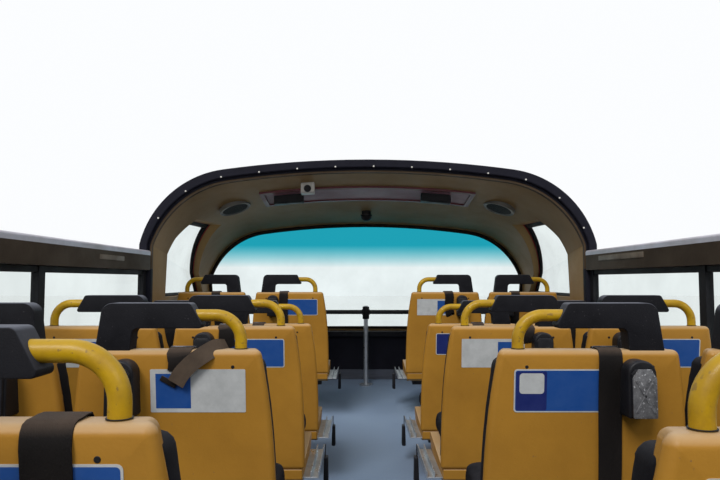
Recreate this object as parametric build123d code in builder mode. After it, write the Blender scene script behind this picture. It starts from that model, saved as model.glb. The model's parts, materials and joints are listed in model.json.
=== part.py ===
from build123d import *
from math import cos, pi, sin, sqrt
import os

# Upper deck of an open top double decker bus, in millimetres.
# X runs to the right, Y to the front and Z up. The origin is under the middle of
# the deck, on the plane that the deck's underside stands on.

# Deck and floor
deck_length = 6260.0
deck_width = 2500.0
wall_thick = 60.0
bearer_high = 60.0
board_thick = 24.0
cover_thick = 4.0
floor_z = bearer_high + board_thick + cover_thick
half_long = deck_length / 2
half_wide = deck_width / 2
inner_half = half_wide - wall_thick

# Ramp that lifts the floor towards the front wall, measured back from the front
ramp_rise = 190.0
ramp_long = 1850.0
ramp_end_gap = 280.0
ramp_front_y = half_long - ramp_end_gap
ramp_back_y = ramp_front_y - ramp_long
ramp_slope = ramp_rise / ramp_long
front_floor_z = floor_z + ramp_rise

# Front wall, curved in plan
front_radius = 12000.0
front_corner = 60.0
sill_high = 370.0
sill_top = front_floor_z + sill_high
ledge_thick = 40.0
ledge_deep = 310.0
ledge_bite = 1.0

# Side walls, panes and rails, heights above the floor
wall_high = 600.0
pane_high = 404.0
rail_high = 106.0
wall_top = floor_z + wall_high
pane_top = wall_top + pane_high
rail_top = pane_top + rail_high
rail_wide = 66.0
rail_cap = 26.0
rail_round = 11.0
lining_thick = 14.0
seal_high = 26.0
seal_wide = 22.0
pane_thick = 6.0
post_long = 46.0
post_wide = 30.0
pane_bays = 4

# Hood over the front, measured back from the front
hood_long = 1720.0
hood_rear_y = half_long - hood_long
hood_slope = 0.139
hood_stretch = sqrt(1 + hood_slope * hood_slope)
hood_wall = 62.0
hood_skin = 26.0
knee_high = 1142.0
shoulder_high = 1555.0
crown_high = 1610.0
shoulder_in = 450.0
rim_wide = 46.0
rim_deep = 28.0

# Windscreen, flat and leaning back
screen_gap = 170.0
screen_base_y = half_long - screen_gap
screen_lean = 0.31
screen_edge = 4.0
screen_lift = 12.0
screen_thick = 8.0
seal_band = 20.0
seal_thick = 24.0

# Stairwell on the rear left, with its guard rail
stair_inner_x = 500.0
stair_rear_gap = 330.0
stair_long = 1260.0
guard_offset = 30.0
guard_high = 900.0
guard_mid_high = 480.0
guard_radius = 17.0
guard_bend = 60.0
stair_rear_y = -half_long + stair_rear_gap
stair_front_y = stair_rear_y + stair_long
guard_front_y = stair_front_y + guard_offset

# Seats, heights above the floor that they stand on
back_top = 794.0
back_bottom = 300.0
back_half_top = 200.0
back_half_bottom = 233.0
back_waist = 580.0
back_half_waist = 228.0
back_corner = 12.0
back_thick = 52.0
crown_round = 16.0
recline = 68.0
pan_long = 430.0
pan_inset = 8.0
pan_half = back_half_bottom - pan_inset
cushion_thick = 68.0
back_pad_thick = 40.0
back_pad_edge = 12.0
soft_gap = 1.0
seat_gap = 2.0
seat_wall_gap = 10.0
window_seat_x = inner_half - seat_wall_gap - back_pad_edge - back_half_bottom
aisle_seat_x = window_seat_x - 2 * back_half_bottom - seat_gap

# Grab handle and head pad
tube_radius = 13.5
tube_sides = 6
disc_sides = 12
bend_radius = 58.0
handle_leg_x = 153.0
handle_lift = 76.0
handle_bar_z = back_top + handle_lift
handle_end_x = 46.0
pad_long = 202.0
pad_high = 57.0
pad_deep = 44.0
pad_leg_wide = 68.0
pad_corner = 21.0

# Belts
strap_wide = 49.0
strap_thick = 3.0
strap_x = -30.0
reel_x = -92.0
reel_wide = 68.0
reel_high = 124.0
reel_deep = 56.0
reel_drop = 18.0
reel_corner = 20.0
buckle_strap_wide = 24.0
buckle_wide = 46.0
buckle_long = 96.0
buckle_thick = 22.0
buckle_drop = 40.0

# Side channels of the pans
channel_wide = 56.0
channel_high = 24.0
channel_wall = 4.0
channel_gap = 26.0

# Rows, measured back from the front
first_row_gap = 1380.0
first_row_pitch = 945.0
row_pitch = 735.0
row_rises = (84.0, -42.0)
right_shift_row = 4
right_shift = 50.0
rear_clearance = 80.0

base_align = (Align.CENTER, Align.CENTER, Align.MIN)
os.makedirs("parts", exist_ok=True)


# Distance that an arc of the front falls back at x from the middle
def sag(x):
    return front_radius - sqrt(front_radius * front_radius - x * x)


# Rows of seats as they fit between the hood and the rear wall
# columns: rear edge of the left and of the right seat backs, rise above the main floor,
# whether a left pair fits
rows = []
row_y = half_long - first_row_gap
while row_y - right_shift - reel_deep > -half_long + wall_thick + rear_clearance:
    rise = row_rises[len(rows)] if len(rows) < len(row_rises) else 0.0
    right_y = row_y if len(rows) < right_shift_row else row_y - right_shift
    rows.append((row_y, right_y, rise, row_y - reel_deep > guard_front_y + guard_radius))
    row_y -= row_pitch if len(rows) > 1 else first_row_pitch

# Seat places: the first list has its grab handle towards +X, the second towards -X
plus_places = []
minus_places = []
pair_places = []
pair_x = (aisle_seat_x + window_seat_x) / 2
for row_y, right_y, rise, left_pair in rows:
    z = floor_z + rise
    plus_places.append((window_seat_x, right_y, z))
    minus_places.append((aisle_seat_x, right_y, z))
    pair_places.append((pair_x, right_y, z))
    if left_pair:
        plus_places.append((-aisle_seat_x, row_y, z))
        minus_places.append((-window_seat_x, row_y, z))
        pair_places.append((-pair_x, row_y, z))
aisle_plus = [place for place in plus_places if abs(place[0]) < pair_x]
aisle_minus = [place for place in minus_places if abs(place[0]) < pair_x]

# Floor board and its vinyl cover, with the ramp and the stairwell opening
board_gap = 15.0
board_front_y = half_long - sag(half_wide) - front_corner - board_gap
board_front_z = floor_z + ramp_slope * (board_front_y - ramp_back_y)
board_rear_y = -half_long + wall_thick
board_under = board_thick + cover_thick
stair_middle_x = -(stair_inner_x + inner_half) / 2
stair_middle_y = (stair_rear_y + stair_front_y) / 2
stair_wide = inner_half - stair_inner_x
for name, low, high in (
    ("floor_board", cover_thick, board_under),
    ("floor_cover", 0.0, cover_thick),
):
    with BuildPart() as layer:
        with BuildSketch(Plane.YZ):
            with BuildLine():
                Polyline(
                    (board_rear_y, floor_z - high),
                    (ramp_back_y, floor_z - high),
                    (board_front_y, board_front_z - high),
                    (board_front_y, board_front_z - low),
                    (ramp_back_y, floor_z - low),
                    (board_rear_y, floor_z - low),
                    close=True,
                )
            make_face()
        extrude(amount=inner_half, both=True)
        with Locations((stair_middle_x, stair_middle_y, floor_z)):
            Box(stair_wide, stair_long, 2 * floor_z, mode=Mode.SUBTRACT)
    layer.part.label = name
    export_step(layer.part, "parts/" + name + ".step")

# Everything below the floor's surface, to cut what stands on the floor
with BuildPart() as ground:
    with BuildSketch(Plane.YZ):
        with BuildLine():
            Polyline(
                (-half_long, -wall_top),
                (half_long, -wall_top),
                (half_long, floor_z + ramp_slope * (half_long - ramp_back_y)),
                (ramp_back_y, floor_z),
                (-half_long, floor_z),
                close=True,
            )
        make_face()
    extrude(amount=half_wide, both=True)

# Bearers under the board: two sills and cross members that follow the ramp
cross_pitch = 620.0
cross_wide = 60.0
sill_wide = 70.0
sill_end_gap = 240.0
sill_middle_x = inner_half - sill_wide / 2
bolt_radius = 9.0
bolt_spacing = 900.0
bolt_end_gap = 1180.0
sill_long = deck_length - 2 * sill_end_gap
cross_count = int((sill_long - cross_wide) / cross_pitch) + 1
with BuildPart() as deck_frame:
    with Locations((-sill_middle_x, 0, 0), (sill_middle_x, 0, 0)):
        Box(sill_wide, sill_long, bearer_high, align=base_align)
    with GridLocations(1, cross_pitch, 1, cross_count):
        Box(2 * inner_half, cross_wide, bearer_high + ramp_rise,
            align=base_align)
    with BuildSketch(Plane.YZ):
        with BuildLine():
            Polyline(
                (-half_long, bearer_high),
                (ramp_back_y, bearer_high),
                (board_front_y, board_front_z - board_under),
                (board_front_y, deck_width),
                (-half_long, deck_width),
                close=True,
            )
        make_face()
    extrude(amount=half_wide, both=True, mode=Mode.SUBTRACT)
    with Locations((stair_middle_x + sill_wide / 2, stair_middle_y, 0)):
        Box(stair_wide - sill_wide, stair_long, 2 * floor_z, mode=Mode.SUBTRACT)
    for end in (-1, 1):
        with Locations((0, end * (half_long - bolt_end_gap), 0)):
            with GridLocations(2 * sill_middle_x, bolt_spacing, 2, 2):
                Hole(bolt_radius)
deck_frame.part.label = "deck_frame"
export_step(deck_frame.part, "parts/deck_frame.step")

# Side walls: low beside the seats, up to the windscreen's sill under the hood
with BuildPart() as side_walls:
    for side in (-1, 1):
        with BuildSketch(Plane.YZ.offset(side * inner_half)):
            with BuildLine():
                Polyline(
                    (-half_long, 0),
                    (board_front_y, 0),
                    (board_front_y, sill_top),
                    (hood_rear_y, sill_top),
                    (hood_rear_y, wall_top),
                    (-half_long, wall_top),
                    close=True,
                )
            make_face()
        extrude(amount=side * wall_thick)
side_walls.part.label = "side_walls"
export_step(side_walls.part, "parts/side_walls.step")

# Rear wall between the side walls
with BuildPart() as rear_wall:
    with Locations((0, -half_long + wall_thick / 2, 0)):
        Box(2 * inner_half, wall_thick, wall_top, align=base_align)
rear_wall.part.label = "rear_wall"
export_step(rear_wall.part, "parts/rear_wall.step")

# Front wall: a curved panel and the ledge that carries the windscreen
front_side_y = half_long - sag(half_wide)
front_inner_y = half_long - wall_thick
front_inner_side_y = front_inner_y - sag(inner_half)
with BuildPart() as front_wall:
    with BuildSketch():
        with BuildLine():
            ThreePointArc((-half_wide, front_side_y), (0, half_long), (half_wide, front_side_y))
            Polyline(
                (half_wide, front_side_y),
                (half_wide, board_front_y),
                (inner_half, board_front_y),
                (inner_half, front_inner_side_y),
            )
            ThreePointArc(
                (inner_half, front_inner_side_y),
                (0, front_inner_y),
                (-inner_half, front_inner_side_y),
            )
            Polyline(
                (-inner_half, front_inner_side_y),
                (-inner_half, board_front_y),
                (-half_wide, board_front_y),
                (-half_wide, front_side_y),
            )
        make_face()
    extrude(amount=sill_top)
    with BuildSketch(Plane.XY.offset(sill_top - ledge_thick)):
        with BuildLine():
            ThreePointArc(
                (-inner_half, front_side_y),
                (0, front_inner_y + ledge_bite),
                (inner_half, front_side_y),
            )
            Polyline(
                (inner_half, front_side_y),
                (inner_half, half_long - ledge_deep),
                (-inner_half, half_long - ledge_deep),
                (-inner_half, front_side_y),
            )
        make_face()
    extrude(amount=ledge_thick)
    corners = front_wall.edges().filter_by(Axis.Z).group_by(Axis.Y)[-1]
    fillet(corners, front_corner)
front_wall.part.label = "front_wall"
export_step(front_wall.part, "parts/front_wall.step")


# Bar with the arched section of the hood, set in by a wall, that falls towards the front
def arched_bar(inset):
    side = half_wide - inset
    shoulder_x = half_wide - shoulder_in - inset / 2
    shoulder_z = (floor_z + shoulder_high - inset) / hood_stretch
    crown_z = (floor_z + crown_high - inset) / hood_stretch
    knee_z = (floor_z + knee_high) / hood_stretch
    with BuildPart() as bar:
        with BuildSketch(Plane((0, hood_rear_y, 0), (1, 0, 0), (0, -1, hood_slope))):
            with BuildLine():
                Polyline((-side, knee_z), (-side, -deck_width), (side, -deck_width), (side, knee_z))
                crown = ThreePointArc((-shoulder_x, shoulder_z), (0, crown_z), (shoulder_x, shoulder_z))
                TangentArc((shoulder_x, shoulder_z), (side, knee_z), tangent=crown % 1)
                TangentArc((-shoulder_x, shoulder_z), (-side, knee_z), tangent=-(crown % 0))
            make_face()
        extrude(amount=2 * hood_long, both=True)
    return bar.part


# Everything behind the windscreen's curved surface, moved along it by a distance
def behind_screen(shift):
    side_y = shift - sag(half_wide)
    with BuildPart() as block:
        with BuildSketch(Plane((0, screen_base_y, sill_top), (1, 0, 0), (0, -screen_lean, 1))):
            with BuildLine():
                ThreePointArc((-half_wide, side_y), (0, shift), (half_wide, side_y))
                Polyline(
                    (half_wide, side_y),
                    (half_wide, -2 * hood_long),
                    (-half_wide, -2 * hood_long),
                    (-half_wide, side_y),
                )
            make_face()
        extrude(amount=deck_width, both=True)
    return block.part


# Solid body of the hood, set in by a wall
def hood_body(inset):
    with BuildPart() as body:
        add(arched_bar(inset))
        add(behind_screen(-inset), mode=Mode.INTERSECT)
        with Locations((0, hood_rear_y, sill_top)):
            Box(deck_width, deck_length, deck_width, align=(Align.CENTER, Align.MIN, Align.MIN),
                mode=Mode.INTERSECT)
    return body.part


# Bar that fills the windscreen's opening, which follows the lining's arch, set in by a band
def screen_bar(inset):
    with BuildPart() as bar:
        add(arched_bar(hood_wall + screen_edge + inset))
        with Locations((0, half_long, sill_top + screen_lift + inset)):
            Box(deck_width, hood_long, deck_width, align=base_align, mode=Mode.INTERSECT)
    return bar.part


# Hood: outer skin and lining, with the openings of the windscreen and the side windows
# Side window's outline in two stretches, the first measured from the rim, the second from the front
# columns: distance along the bus, height above the floor
quarter_rear = [
    (260.0, 850.0),
    (300.0, 1200.0),
    (370.0, 1318.0),
]
quarter_front = [
    (980.0, 1318.0),
    (550.0, 850.0),
]
quarter_points = [(hood_rear_y + y, floor_z + z) for y, z in quarter_rear]
quarter_points += [(half_long - y, floor_z + z) for y, z in quarter_front]
quarter_seal = 20.0
quarter_seal_in = 4.0
quarter_seal_deep = 18.0
quarter_pane_in = 10.0
hood_outer = hood_body(0.0)
hood_middle = hood_body(hood_skin)
hood_inner = hood_body(hood_wall)
for name, outside, inside in (
    ("hood_shell", hood_outer, hood_middle),
    ("hood_lining", hood_middle, hood_inner),
):
    with BuildPart() as hood:
        add(outside)
        add(inside, mode=Mode.SUBTRACT)
        add(screen_bar(0.0), mode=Mode.SUBTRACT)
        with BuildSketch(Plane.YZ):
            with BuildLine():
                Polyline(*quarter_points, close=True)
            make_face()
        extrude(amount=half_wide, both=True, mode=Mode.SUBTRACT)
    hood.part.label = name
    export_step(hood.part, "parts/" + name + ".step")

# Panes and seals of the hood's side windows
for name, shallow, deep, edge, hollow in (
    ("quarter_panes", quarter_pane_in, quarter_pane_in + pane_thick, quarter_seal, False),
    ("quarter_seals", quarter_seal_in, quarter_seal_in + quarter_seal_deep, 0.0, True),
):
    with BuildPart() as quarters:
        add(hood_body(shallow))
        add(hood_body(deep), mode=Mode.SUBTRACT)
        with BuildSketch(Plane.YZ):
            with BuildLine():
                Polyline(*quarter_points, close=True)
            face = make_face()
            if hollow:
                offset(face, amount=-quarter_seal, kind=Kind.INTERSECTION, mode=Mode.SUBTRACT)
            else:
                offset(face, amount=-quarter_seal, kind=Kind.INTERSECTION, mode=Mode.REPLACE)
        extrude(amount=half_wide, both=True, mode=Mode.INTERSECT)
    quarters.part.label = name
    export_step(quarters.part, "parts/" + name + ".step")

# Windscreen glass and its seal, in the opening of the hood's front
for name, thick, outer, hollow in (
    ("windscreen", screen_thick, seal_band, False),
    ("windscreen_seal", seal_thick, 0.0, True),
):
    with BuildPart() as glazing:
        add(behind_screen((thick - hood_wall) / 2))
        add(behind_screen((-thick - hood_wall) / 2), mode=Mode.SUBTRACT)
        add(screen_bar(outer), mode=Mode.INTERSECT)
        if hollow:
            add(screen_bar(seal_band), mode=Mode.SUBTRACT)
    glazing.part.label = name
    export_step(glazing.part, "parts/" + name + ".step")

# Rubber seal along the rear rim of the hood
with BuildPart() as hood_rim:
    add(arched_bar(0.0))
    add(arched_bar(rim_wide), mode=Mode.SUBTRACT)
    with Locations((0, hood_rear_y, rail_top)):
        Box(deck_width, rim_deep, deck_width, align=(Align.CENTER, Align.MAX, Align.MIN),
            mode=Mode.INTERSECT)
hood_rim.part.label = "hood_rim_seal"
export_step(hood_rim.part, "parts/hood_rim_seal.step")

# Side panes with their posts and seals
post_end_y = hood_rear_y - rim_deep
bay_long = (post_end_y + half_long - post_long) / pane_bays
posts_middle_y = (post_end_y - half_long) / 2
pane_long = bay_long - post_long
pane_x = half_wide - wall_thick / 2
for name, low, count, wide, long, high in (
    ("pane_posts", wall_top, pane_bays + 1, post_wide, post_long, pane_high),
    ("side_panes", wall_top, pane_bays, pane_thick, pane_long, pane_high - seal_high),
    ("pane_seals", pane_top - seal_high, pane_bays, seal_wide, pane_long, seal_high),
):
    with BuildPart() as row_of_pieces:
        with Locations((0, posts_middle_y, low)):
            with GridLocations(2 * pane_x, bay_long, 2, count):
                Box(wide, long, high, align=base_align)
    row_of_pieces.part.label = name
    export_step(row_of_pieces.part, "parts/" + name + ".step")

# Rails on top of the side panes, and the lining plates on their inner faces
rail_long = post_end_y + half_long
rail_inner = half_wide - rail_wide
web_inner = rail_inner + lining_thick
with BuildPart() as top_rails:
    with BuildSketch(Plane.XZ.offset(-post_end_y)):
        with BuildLine():
            Polyline(
                (half_wide, pane_top),
                (half_wide, rail_top),
                (rail_inner, rail_top),
                (rail_inner, rail_top - rail_cap),
                (web_inner, rail_top - rail_cap),
                (web_inner, pane_top),
                close=True,
            )
        make_face()
        fillet(vertices().group_by(Axis.Y)[-1], rail_round)
        mirror(about=Plane.YZ)
    extrude(amount=rail_long)
top_rails.part.label = "top_rails"
export_step(top_rails.part, "parts/top_rails.step")
with BuildPart() as rail_linings:
    with Locations((0, (post_end_y - half_long + rail_wide) / 2, pane_top)):
        with GridLocations(rail_inner + web_inner, 1, 2, 1):
            Box(lining_thick, rail_long - rail_wide, rail_high - rail_cap, align=base_align)
rail_linings.part.label = "rail_linings"
export_step(rail_linings.part, "parts/rail_linings.step")

# Rear pane and the rail above it
with BuildPart() as rear_pane:
    with Locations((0, -half_long + wall_thick / 2, wall_top)):
        Box(2 * (inner_half - seal_wide), pane_thick, pane_high, align=base_align)
rear_pane.part.label = "rear_pane"
export_step(rear_pane.part, "parts/rear_pane.step")
with BuildPart() as rear_rail:
    with BuildSketch(Plane.YZ.offset(-half_wide + rail_wide)):
        with Locations((-half_long + rail_wide / 2, (rail_top + pane_top) / 2)):
            Rectangle(rail_wide, rail_high)
        fillet(vertices().group_by(Axis.Y)[-1], rail_round)
    extrude(amount=2 * (half_wide - rail_wide))
rear_rail.part.label = "top_rail_rear"
export_step(rear_rail.part, "parts/top_rail_rear.step")

# Dash and kick strip under the windscreen's ledge
dash_side_gap = 2.0
dash_half = inner_half - dash_side_gap
dash_gap = 270.0
dash_thick = 30.0
kick_high = 76.0
dash_y = half_long - dash_gap
with BuildPart() as dash_panel:
    with Locations((0, dash_y, front_floor_z + kick_high)):
        Box(2 * dash_half, dash_thick, sill_high - ledge_thick - kick_high,
            align=(Align.CENTER, Align.MIN, Align.MIN))
dash_panel.part.label = "dash_panel"
export_step(dash_panel.part, "parts/dash_panel.step")
with BuildPart() as kick_strip:
    with Locations((0, dash_y, 0)):
        Box(2 * dash_half, dash_thick, front_floor_z + kick_high,
            align=(Align.CENTER, Align.MIN, Align.MIN))
    add(ground.part, mode=Mode.SUBTRACT)
kick_strip.part.label = "kick_strip"
export_step(kick_strip.part, "parts/kick_strip.step")

# Handrail across the front, ending on the hood's lining, and its middle stanchion
handrail_high = 710.0
handrail_gap = 390.0
handrail_radius = 16.0
flange_radius = 50.0
flange_thick = 8.0
handrail_y = half_long - handrail_gap
handrail_z = floor_z + handrail_high
with BuildPart() as handrail:
    with BuildSketch(Plane.YZ):
        with Locations((handrail_y, handrail_z)):
            Circle(handrail_radius)
    extrude(amount=half_wide, both=True)
    add(hood_inner, mode=Mode.INTERSECT)
handrail.part.label = "front_handrail"
export_step(handrail.part, "parts/front_handrail.step")
stanchion_y = handrail_y - 2 * handrail_radius
stanchion_floor_z = floor_z + ramp_slope * (stanchion_y - ramp_back_y)
stanchion_top = handrail_z + 3 * handrail_radius
with BuildPart() as stanchion:
    for radius, sides, top in (
        (handrail_radius, tube_sides, stanchion_top),
        (flange_radius, disc_sides, stanchion_floor_z + flange_thick),
    ):
        with BuildSketch():
            with Locations((0, stanchion_y)):
                RegularPolygon(radius, sides)
        extrude(amount=top)
    add(ground.part, mode=Mode.SUBTRACT)
stanchion.part.label = "stanchion"
export_step(stanchion.part, "parts/stanchion.step")

# Guard rail round the stairwell
guard_x = -stair_inner_x + guard_offset
guard_top = floor_z + guard_high
with BuildPart() as guard:
    with BuildLine() as guard_path:
        Polyline(
            (guard_x, stair_rear_y, floor_z),
            (guard_x, stair_rear_y, guard_top - guard_bend),
            (guard_x, stair_rear_y + guard_bend, guard_top),
            (guard_x, guard_front_y - guard_bend, guard_top),
            (guard_x, guard_front_y, guard_top - guard_bend),
            (guard_x, guard_front_y, floor_z),
        )
    with BuildSketch(Plane(guard_path.line @ 0, (1, 0, 0), (0, 0, 1))):
        RegularPolygon(guard_radius, tube_sides)
    sweep(transition=Transition.RIGHT)
    with BuildSketch(Plane.XZ.offset(-stair_rear_y)):
        with Locations((guard_x, floor_z + guard_mid_high)):
            RegularPolygon(guard_radius, tube_sides)
    extrude(amount=-(guard_front_y - stair_rear_y))
guard.part.label = "stair_guard"
export_step(guard.part, "parts/stair_guard.step")

# Ceiling fittings of the hood, each seated on the lining and following its slope
# columns: name, middle x, distance from the rim, size along x, size along y, depth, round
sensor_gap = 830.0
ceiling_table = [
    ("ceiling_speakers", 815.0, 480.0, 190.0, 190.0, 16.0, True),
    ("ceiling_speakers", -815.0, 480.0, 190.0, 190.0, 16.0, True),
    ("ceiling_boxes", 420.0, 400.0, 180.0, 60.0, 52.0, False),
    ("ceiling_boxes", -480.0, 400.0, 180.0, 60.0, 52.0, False),
    ("ceiling_camera", -347.0, 185.0, 78.0, 66.0, 60.0, False),
    ("ceiling_sensor", 0.0, hood_long - sensor_gap, 80.0, 80.0, 62.0, True),
    ("ceiling_frame", 0.0, 425.0, 1290.0, 300.0, 12.0, False),
]
frame_rim = 26.0
for fitting in dict.fromkeys(row[0] for row in ceiling_table):
    with BuildPart() as fittings:
        for name, x, y, size_x, size_y, deep, is_round in ceiling_table:
            if name != fitting:
                continue
            drop = deep
            with BuildSketch(Plane.XY.offset(rail_top)):
                with Locations((x, hood_rear_y + y)):
                    if is_round:
                        RegularPolygon(size_x / 2, disc_sides)
                    else:
                        Rectangle(size_x, size_y)
                    if fitting == "ceiling_frame":
                        Rectangle(size_x - 2 * frame_rim, size_y - 2 * frame_rim, mode=Mode.SUBTRACT)
            extrude(amount=crown_high)
        add(hood_inner, mode=Mode.INTERSECT)
        add(hood_inner.moved(Location((0, 0, -drop))), mode=Mode.SUBTRACT)
    fittings.part.label = fitting
    export_step(fittings.part, "parts/" + fitting + ".step")


# Distance of the shell's rear face from the row's y at a height
def back_y(z):
    return recline * (back_top - crown_round - z) / (back_top - crown_round - back_bottom)


# Distance of the shell's front face from the row's y at a height
def front_y(z):
    return back_thick + recline * (back_top - z) / (back_top - back_bottom)


# Copies of a seat piece at the places, mirrored where the handle is towards -X
def fit_to_seats(piece, name, plus, minus):
    mirrored = mirror(piece, about=Plane.YZ)
    with BuildPart() as copies:
        with Locations(*plus):
            add(piece)
        with Locations(*minus):
            add(mirrored)
    copies.part.label = name
    export_step(copies.part, "parts/" + name + ".step")


# Seat back shell: its outline from behind, cut to its reclined side profile
with BuildPart() as back_shell:
    with BuildSketch(Plane.XZ):
        with BuildLine():
            Polyline(
                (-back_half_bottom, back_bottom),
                (back_half_bottom, back_bottom),
                (back_half_waist, back_waist),
                (back_half_top, back_top),
                (-back_half_top, back_top),
                (-back_half_waist, back_waist),
                close=True,
            )
        make_face()
        chamfer(vertices().group_by(Axis.Y)[-1], back_corner)
    extrude(amount=-recline - back_thick)
    with BuildSketch(Plane.YZ):
        with BuildLine():
            Polyline(
                (back_thick, back_top),
                (recline + back_thick, back_bottom),
                (recline, back_bottom),
                (0, back_top - crown_round),
                (crown_round, back_top),
                close=True,
            )
        make_face()
    extrude(amount=back_half_bottom, both=True, mode=Mode.INTERSECT)
fit_to_seats(back_shell.part, "seat_back_shells", plus_places, minus_places)

# Seat pan under the cushion
# columns: distance from the shell's lower edge, height from the shell's bottom
pan_lip = 34.0
pan_outline = [
    (0.0, 0.0),
    (6.0, -34.0),
    (60.0, -52.0),
    (pan_long - 60.0, -30.0),
    (pan_long, 12.0),
    (pan_long - 12.0, pan_lip),
    (back_thick + 40.0, 0.0),
]
with BuildPart() as pan:
    with BuildSketch(Plane.YZ):
        with BuildLine():
            Polyline(*[(recline + y, back_bottom + z) for y, z in pan_outline], close=True)
        make_face()
    extrude(amount=pan_half, both=True)
fit_to_seats(pan.part, "seat_pans", plus_places, minus_places)

# Base cushion on the pan, columns as for the pan
cushion_rear = back_thick + back_pad_thick + 4.0
cushion_outline = [
    (cushion_rear, soft_gap),
    (pan_long - 12.0, pan_lip + soft_gap),
    (pan_long + 14.0, 60.0),
    (pan_long - 4.0, cushion_thick + 40.0),
    (cushion_rear, cushion_thick + 20.0),
]
with BuildPart() as base_cushion:
    with BuildSketch(Plane.YZ):
        with BuildLine():
            Polyline(*[(recline + y, back_bottom + z) for y, z in cushion_outline], close=True)
        make_face()
    extrude(amount=pan_half, both=True)
fit_to_seats(base_cushion.part, "seat_base_cushions", plus_places, minus_places)

# Back cushion in front of the shell, wider than the shell on the handle's side
back_pad_low = back_bottom + 4.0
back_pad_top = back_top - 36.0
back_pad_front = recline + back_thick + back_pad_thick
crest_deep = 24.0
crest_lift = 6.0
crest_fall = 24.0
lumbar_z = back_bottom + cushion_thick + 60.0
with BuildPart() as back_cushion:
    with BuildSketch(Plane.YZ):
        with BuildLine():
            Polyline(
                (front_y(back_pad_low) + soft_gap, back_pad_low),
                (front_y(back_pad_top) + soft_gap, back_pad_top),
                (back_thick + crest_deep, back_pad_top + crest_lift),
                (back_thick + 2 * crest_deep, back_pad_top - crest_fall),
                (back_pad_front, lumbar_z),
                (back_pad_front, back_pad_low),
                close=True,
            )
        make_face()
    extrude(amount=2 * back_half_bottom, both=True)
    with BuildSketch(Plane.XZ):
        with BuildLine():
            Polyline(
                (soft_gap - back_half_bottom, back_bottom),
                (back_half_bottom + back_pad_edge, back_bottom),
                (back_half_waist + back_pad_edge, back_waist),
                (back_half_top + back_pad_edge, back_top),
                (soft_gap - back_half_top, back_top),
                (soft_gap - back_half_waist, back_waist),
                close=True,
            )
        make_face()
    extrude(amount=-pan_long, mode=Mode.INTERSECT)
fit_to_seats(back_cushion.part, "seat_back_cushions", plus_places, minus_places)

# Pad: a moulded bar that carries the handle's end, with one leg on the crown
pad_far_x = handle_end_x - pad_long
pad_slant = 17.0
handle_y = back_thick - pad_deep / 2
with BuildPart() as pad:
    with BuildSketch(Plane.XZ.offset(pad_deep / 2 - handle_y)):
        with BuildLine():
            Polyline(
                (handle_end_x + pad_slant, handle_bar_z - pad_high / 2),
                (handle_end_x, handle_bar_z + pad_high / 2),
                (pad_far_x, handle_bar_z + pad_high / 2),
                (pad_far_x, back_top - crown_round),
                (pad_far_x + pad_leg_wide, back_top - crown_round),
                (pad_far_x + pad_leg_wide, handle_bar_z - pad_high / 2),
                close=True,
            )
        make_face()
        chamfer(vertices().group_by(Axis.Y)[-1].sort_by(Axis.X)[0], pad_corner)
    extrude(amount=-pad_deep)
    add(back_shell.part, mode=Mode.SUBTRACT)
pad_solid = pad.part.solids().sort_by(SortBy.VOLUME)[-1]
fit_to_seats(pad_solid, "headrest_pads", plus_places, minus_places)

# Grab handle: a tube that rises from the crown and bends over to the end of the pad
bend_x = handle_leg_x - bend_radius
bend_z = handle_bar_z - bend_radius
bend_steps = 3
with BuildPart() as handle:
    with BuildLine() as handle_path:
        Polyline(
            (handle_leg_x, handle_y, back_top - 2 * tube_radius),
            *[
                (
                    bend_x + bend_radius * cos(step * pi / 2 / bend_steps),
                    handle_y,
                    bend_z + bend_radius * sin(step * pi / 2 / bend_steps),
                )
                for step in range(bend_steps + 1)
            ],
            (handle_end_x - pad_slant, handle_y, handle_bar_z),
        )
    with BuildSketch(Plane(handle_path.line @ 0, (1, 0, 0), (0, 0, 1))):
        RegularPolygon(tube_radius, tube_sides)
    sweep(transition=Transition.RIGHT)
    add(back_shell.part, mode=Mode.SUBTRACT)
    add(pad_solid, mode=Mode.SUBTRACT)
handle_solid = handle.part.solids().sort_by(SortBy.VOLUME)[-1]
fit_to_seats(handle_solid, "grab_handles", plus_places, minus_places)

# Belt retractor housing on the rear face of the shell
reel_top = back_top - reel_drop
with BuildPart() as reel:
    with BuildSketch(Plane.XZ.offset(reel_deep)):
        with Locations((reel_x, reel_top - reel_high / 2)):
            Rectangle(reel_wide, reel_high)
        chamfer(vertices().group_by(Axis.Y)[-1], reel_corner)
    extrude(amount=-reel_deep - back_thick)
    add(back_shell.part, mode=Mode.SUBTRACT)
    add(pad_solid, mode=Mode.SUBTRACT)
reel_solid = reel.part.solids().sort_by(Axis.Y)[0]
fit_to_seats(reel_solid, "belt_retractors", plus_places, minus_places)

# Belt strap: down the rear face, over the crown and down in front of the shell
strap_low = back_bottom + 20.0
strap_front_low = back_top - 28.0
strap_near = soft_gap
strap_far = soft_gap + strap_thick
with BuildPart() as strap:
    with BuildSketch(Plane.YZ):
        with BuildLine():
            Polyline(
                (back_y(strap_low) - strap_far, strap_low),
                (-strap_far, back_top - crown_round),
                (crown_round - strap_thick, back_top + strap_far),
                (back_thick + strap_far, back_top + strap_far),
                (front_y(strap_front_low) + strap_far, strap_front_low),
                (front_y(strap_front_low) + strap_near, strap_front_low),
                (back_thick + strap_near, back_top + strap_near),
                (crown_round - strap_near, back_top + strap_near),
                (-strap_near, back_top - crown_round),
                (back_y(strap_low) - strap_near, strap_low),
                close=True,
            )
        make_face()
    extrude(amount=strap_wide / 2, both=True)
strap_solid = strap.part.moved(Location((strap_x, 0, 0)))
fit_to_seats(strap_solid, "belt_straps", plus_places, minus_places)

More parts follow.
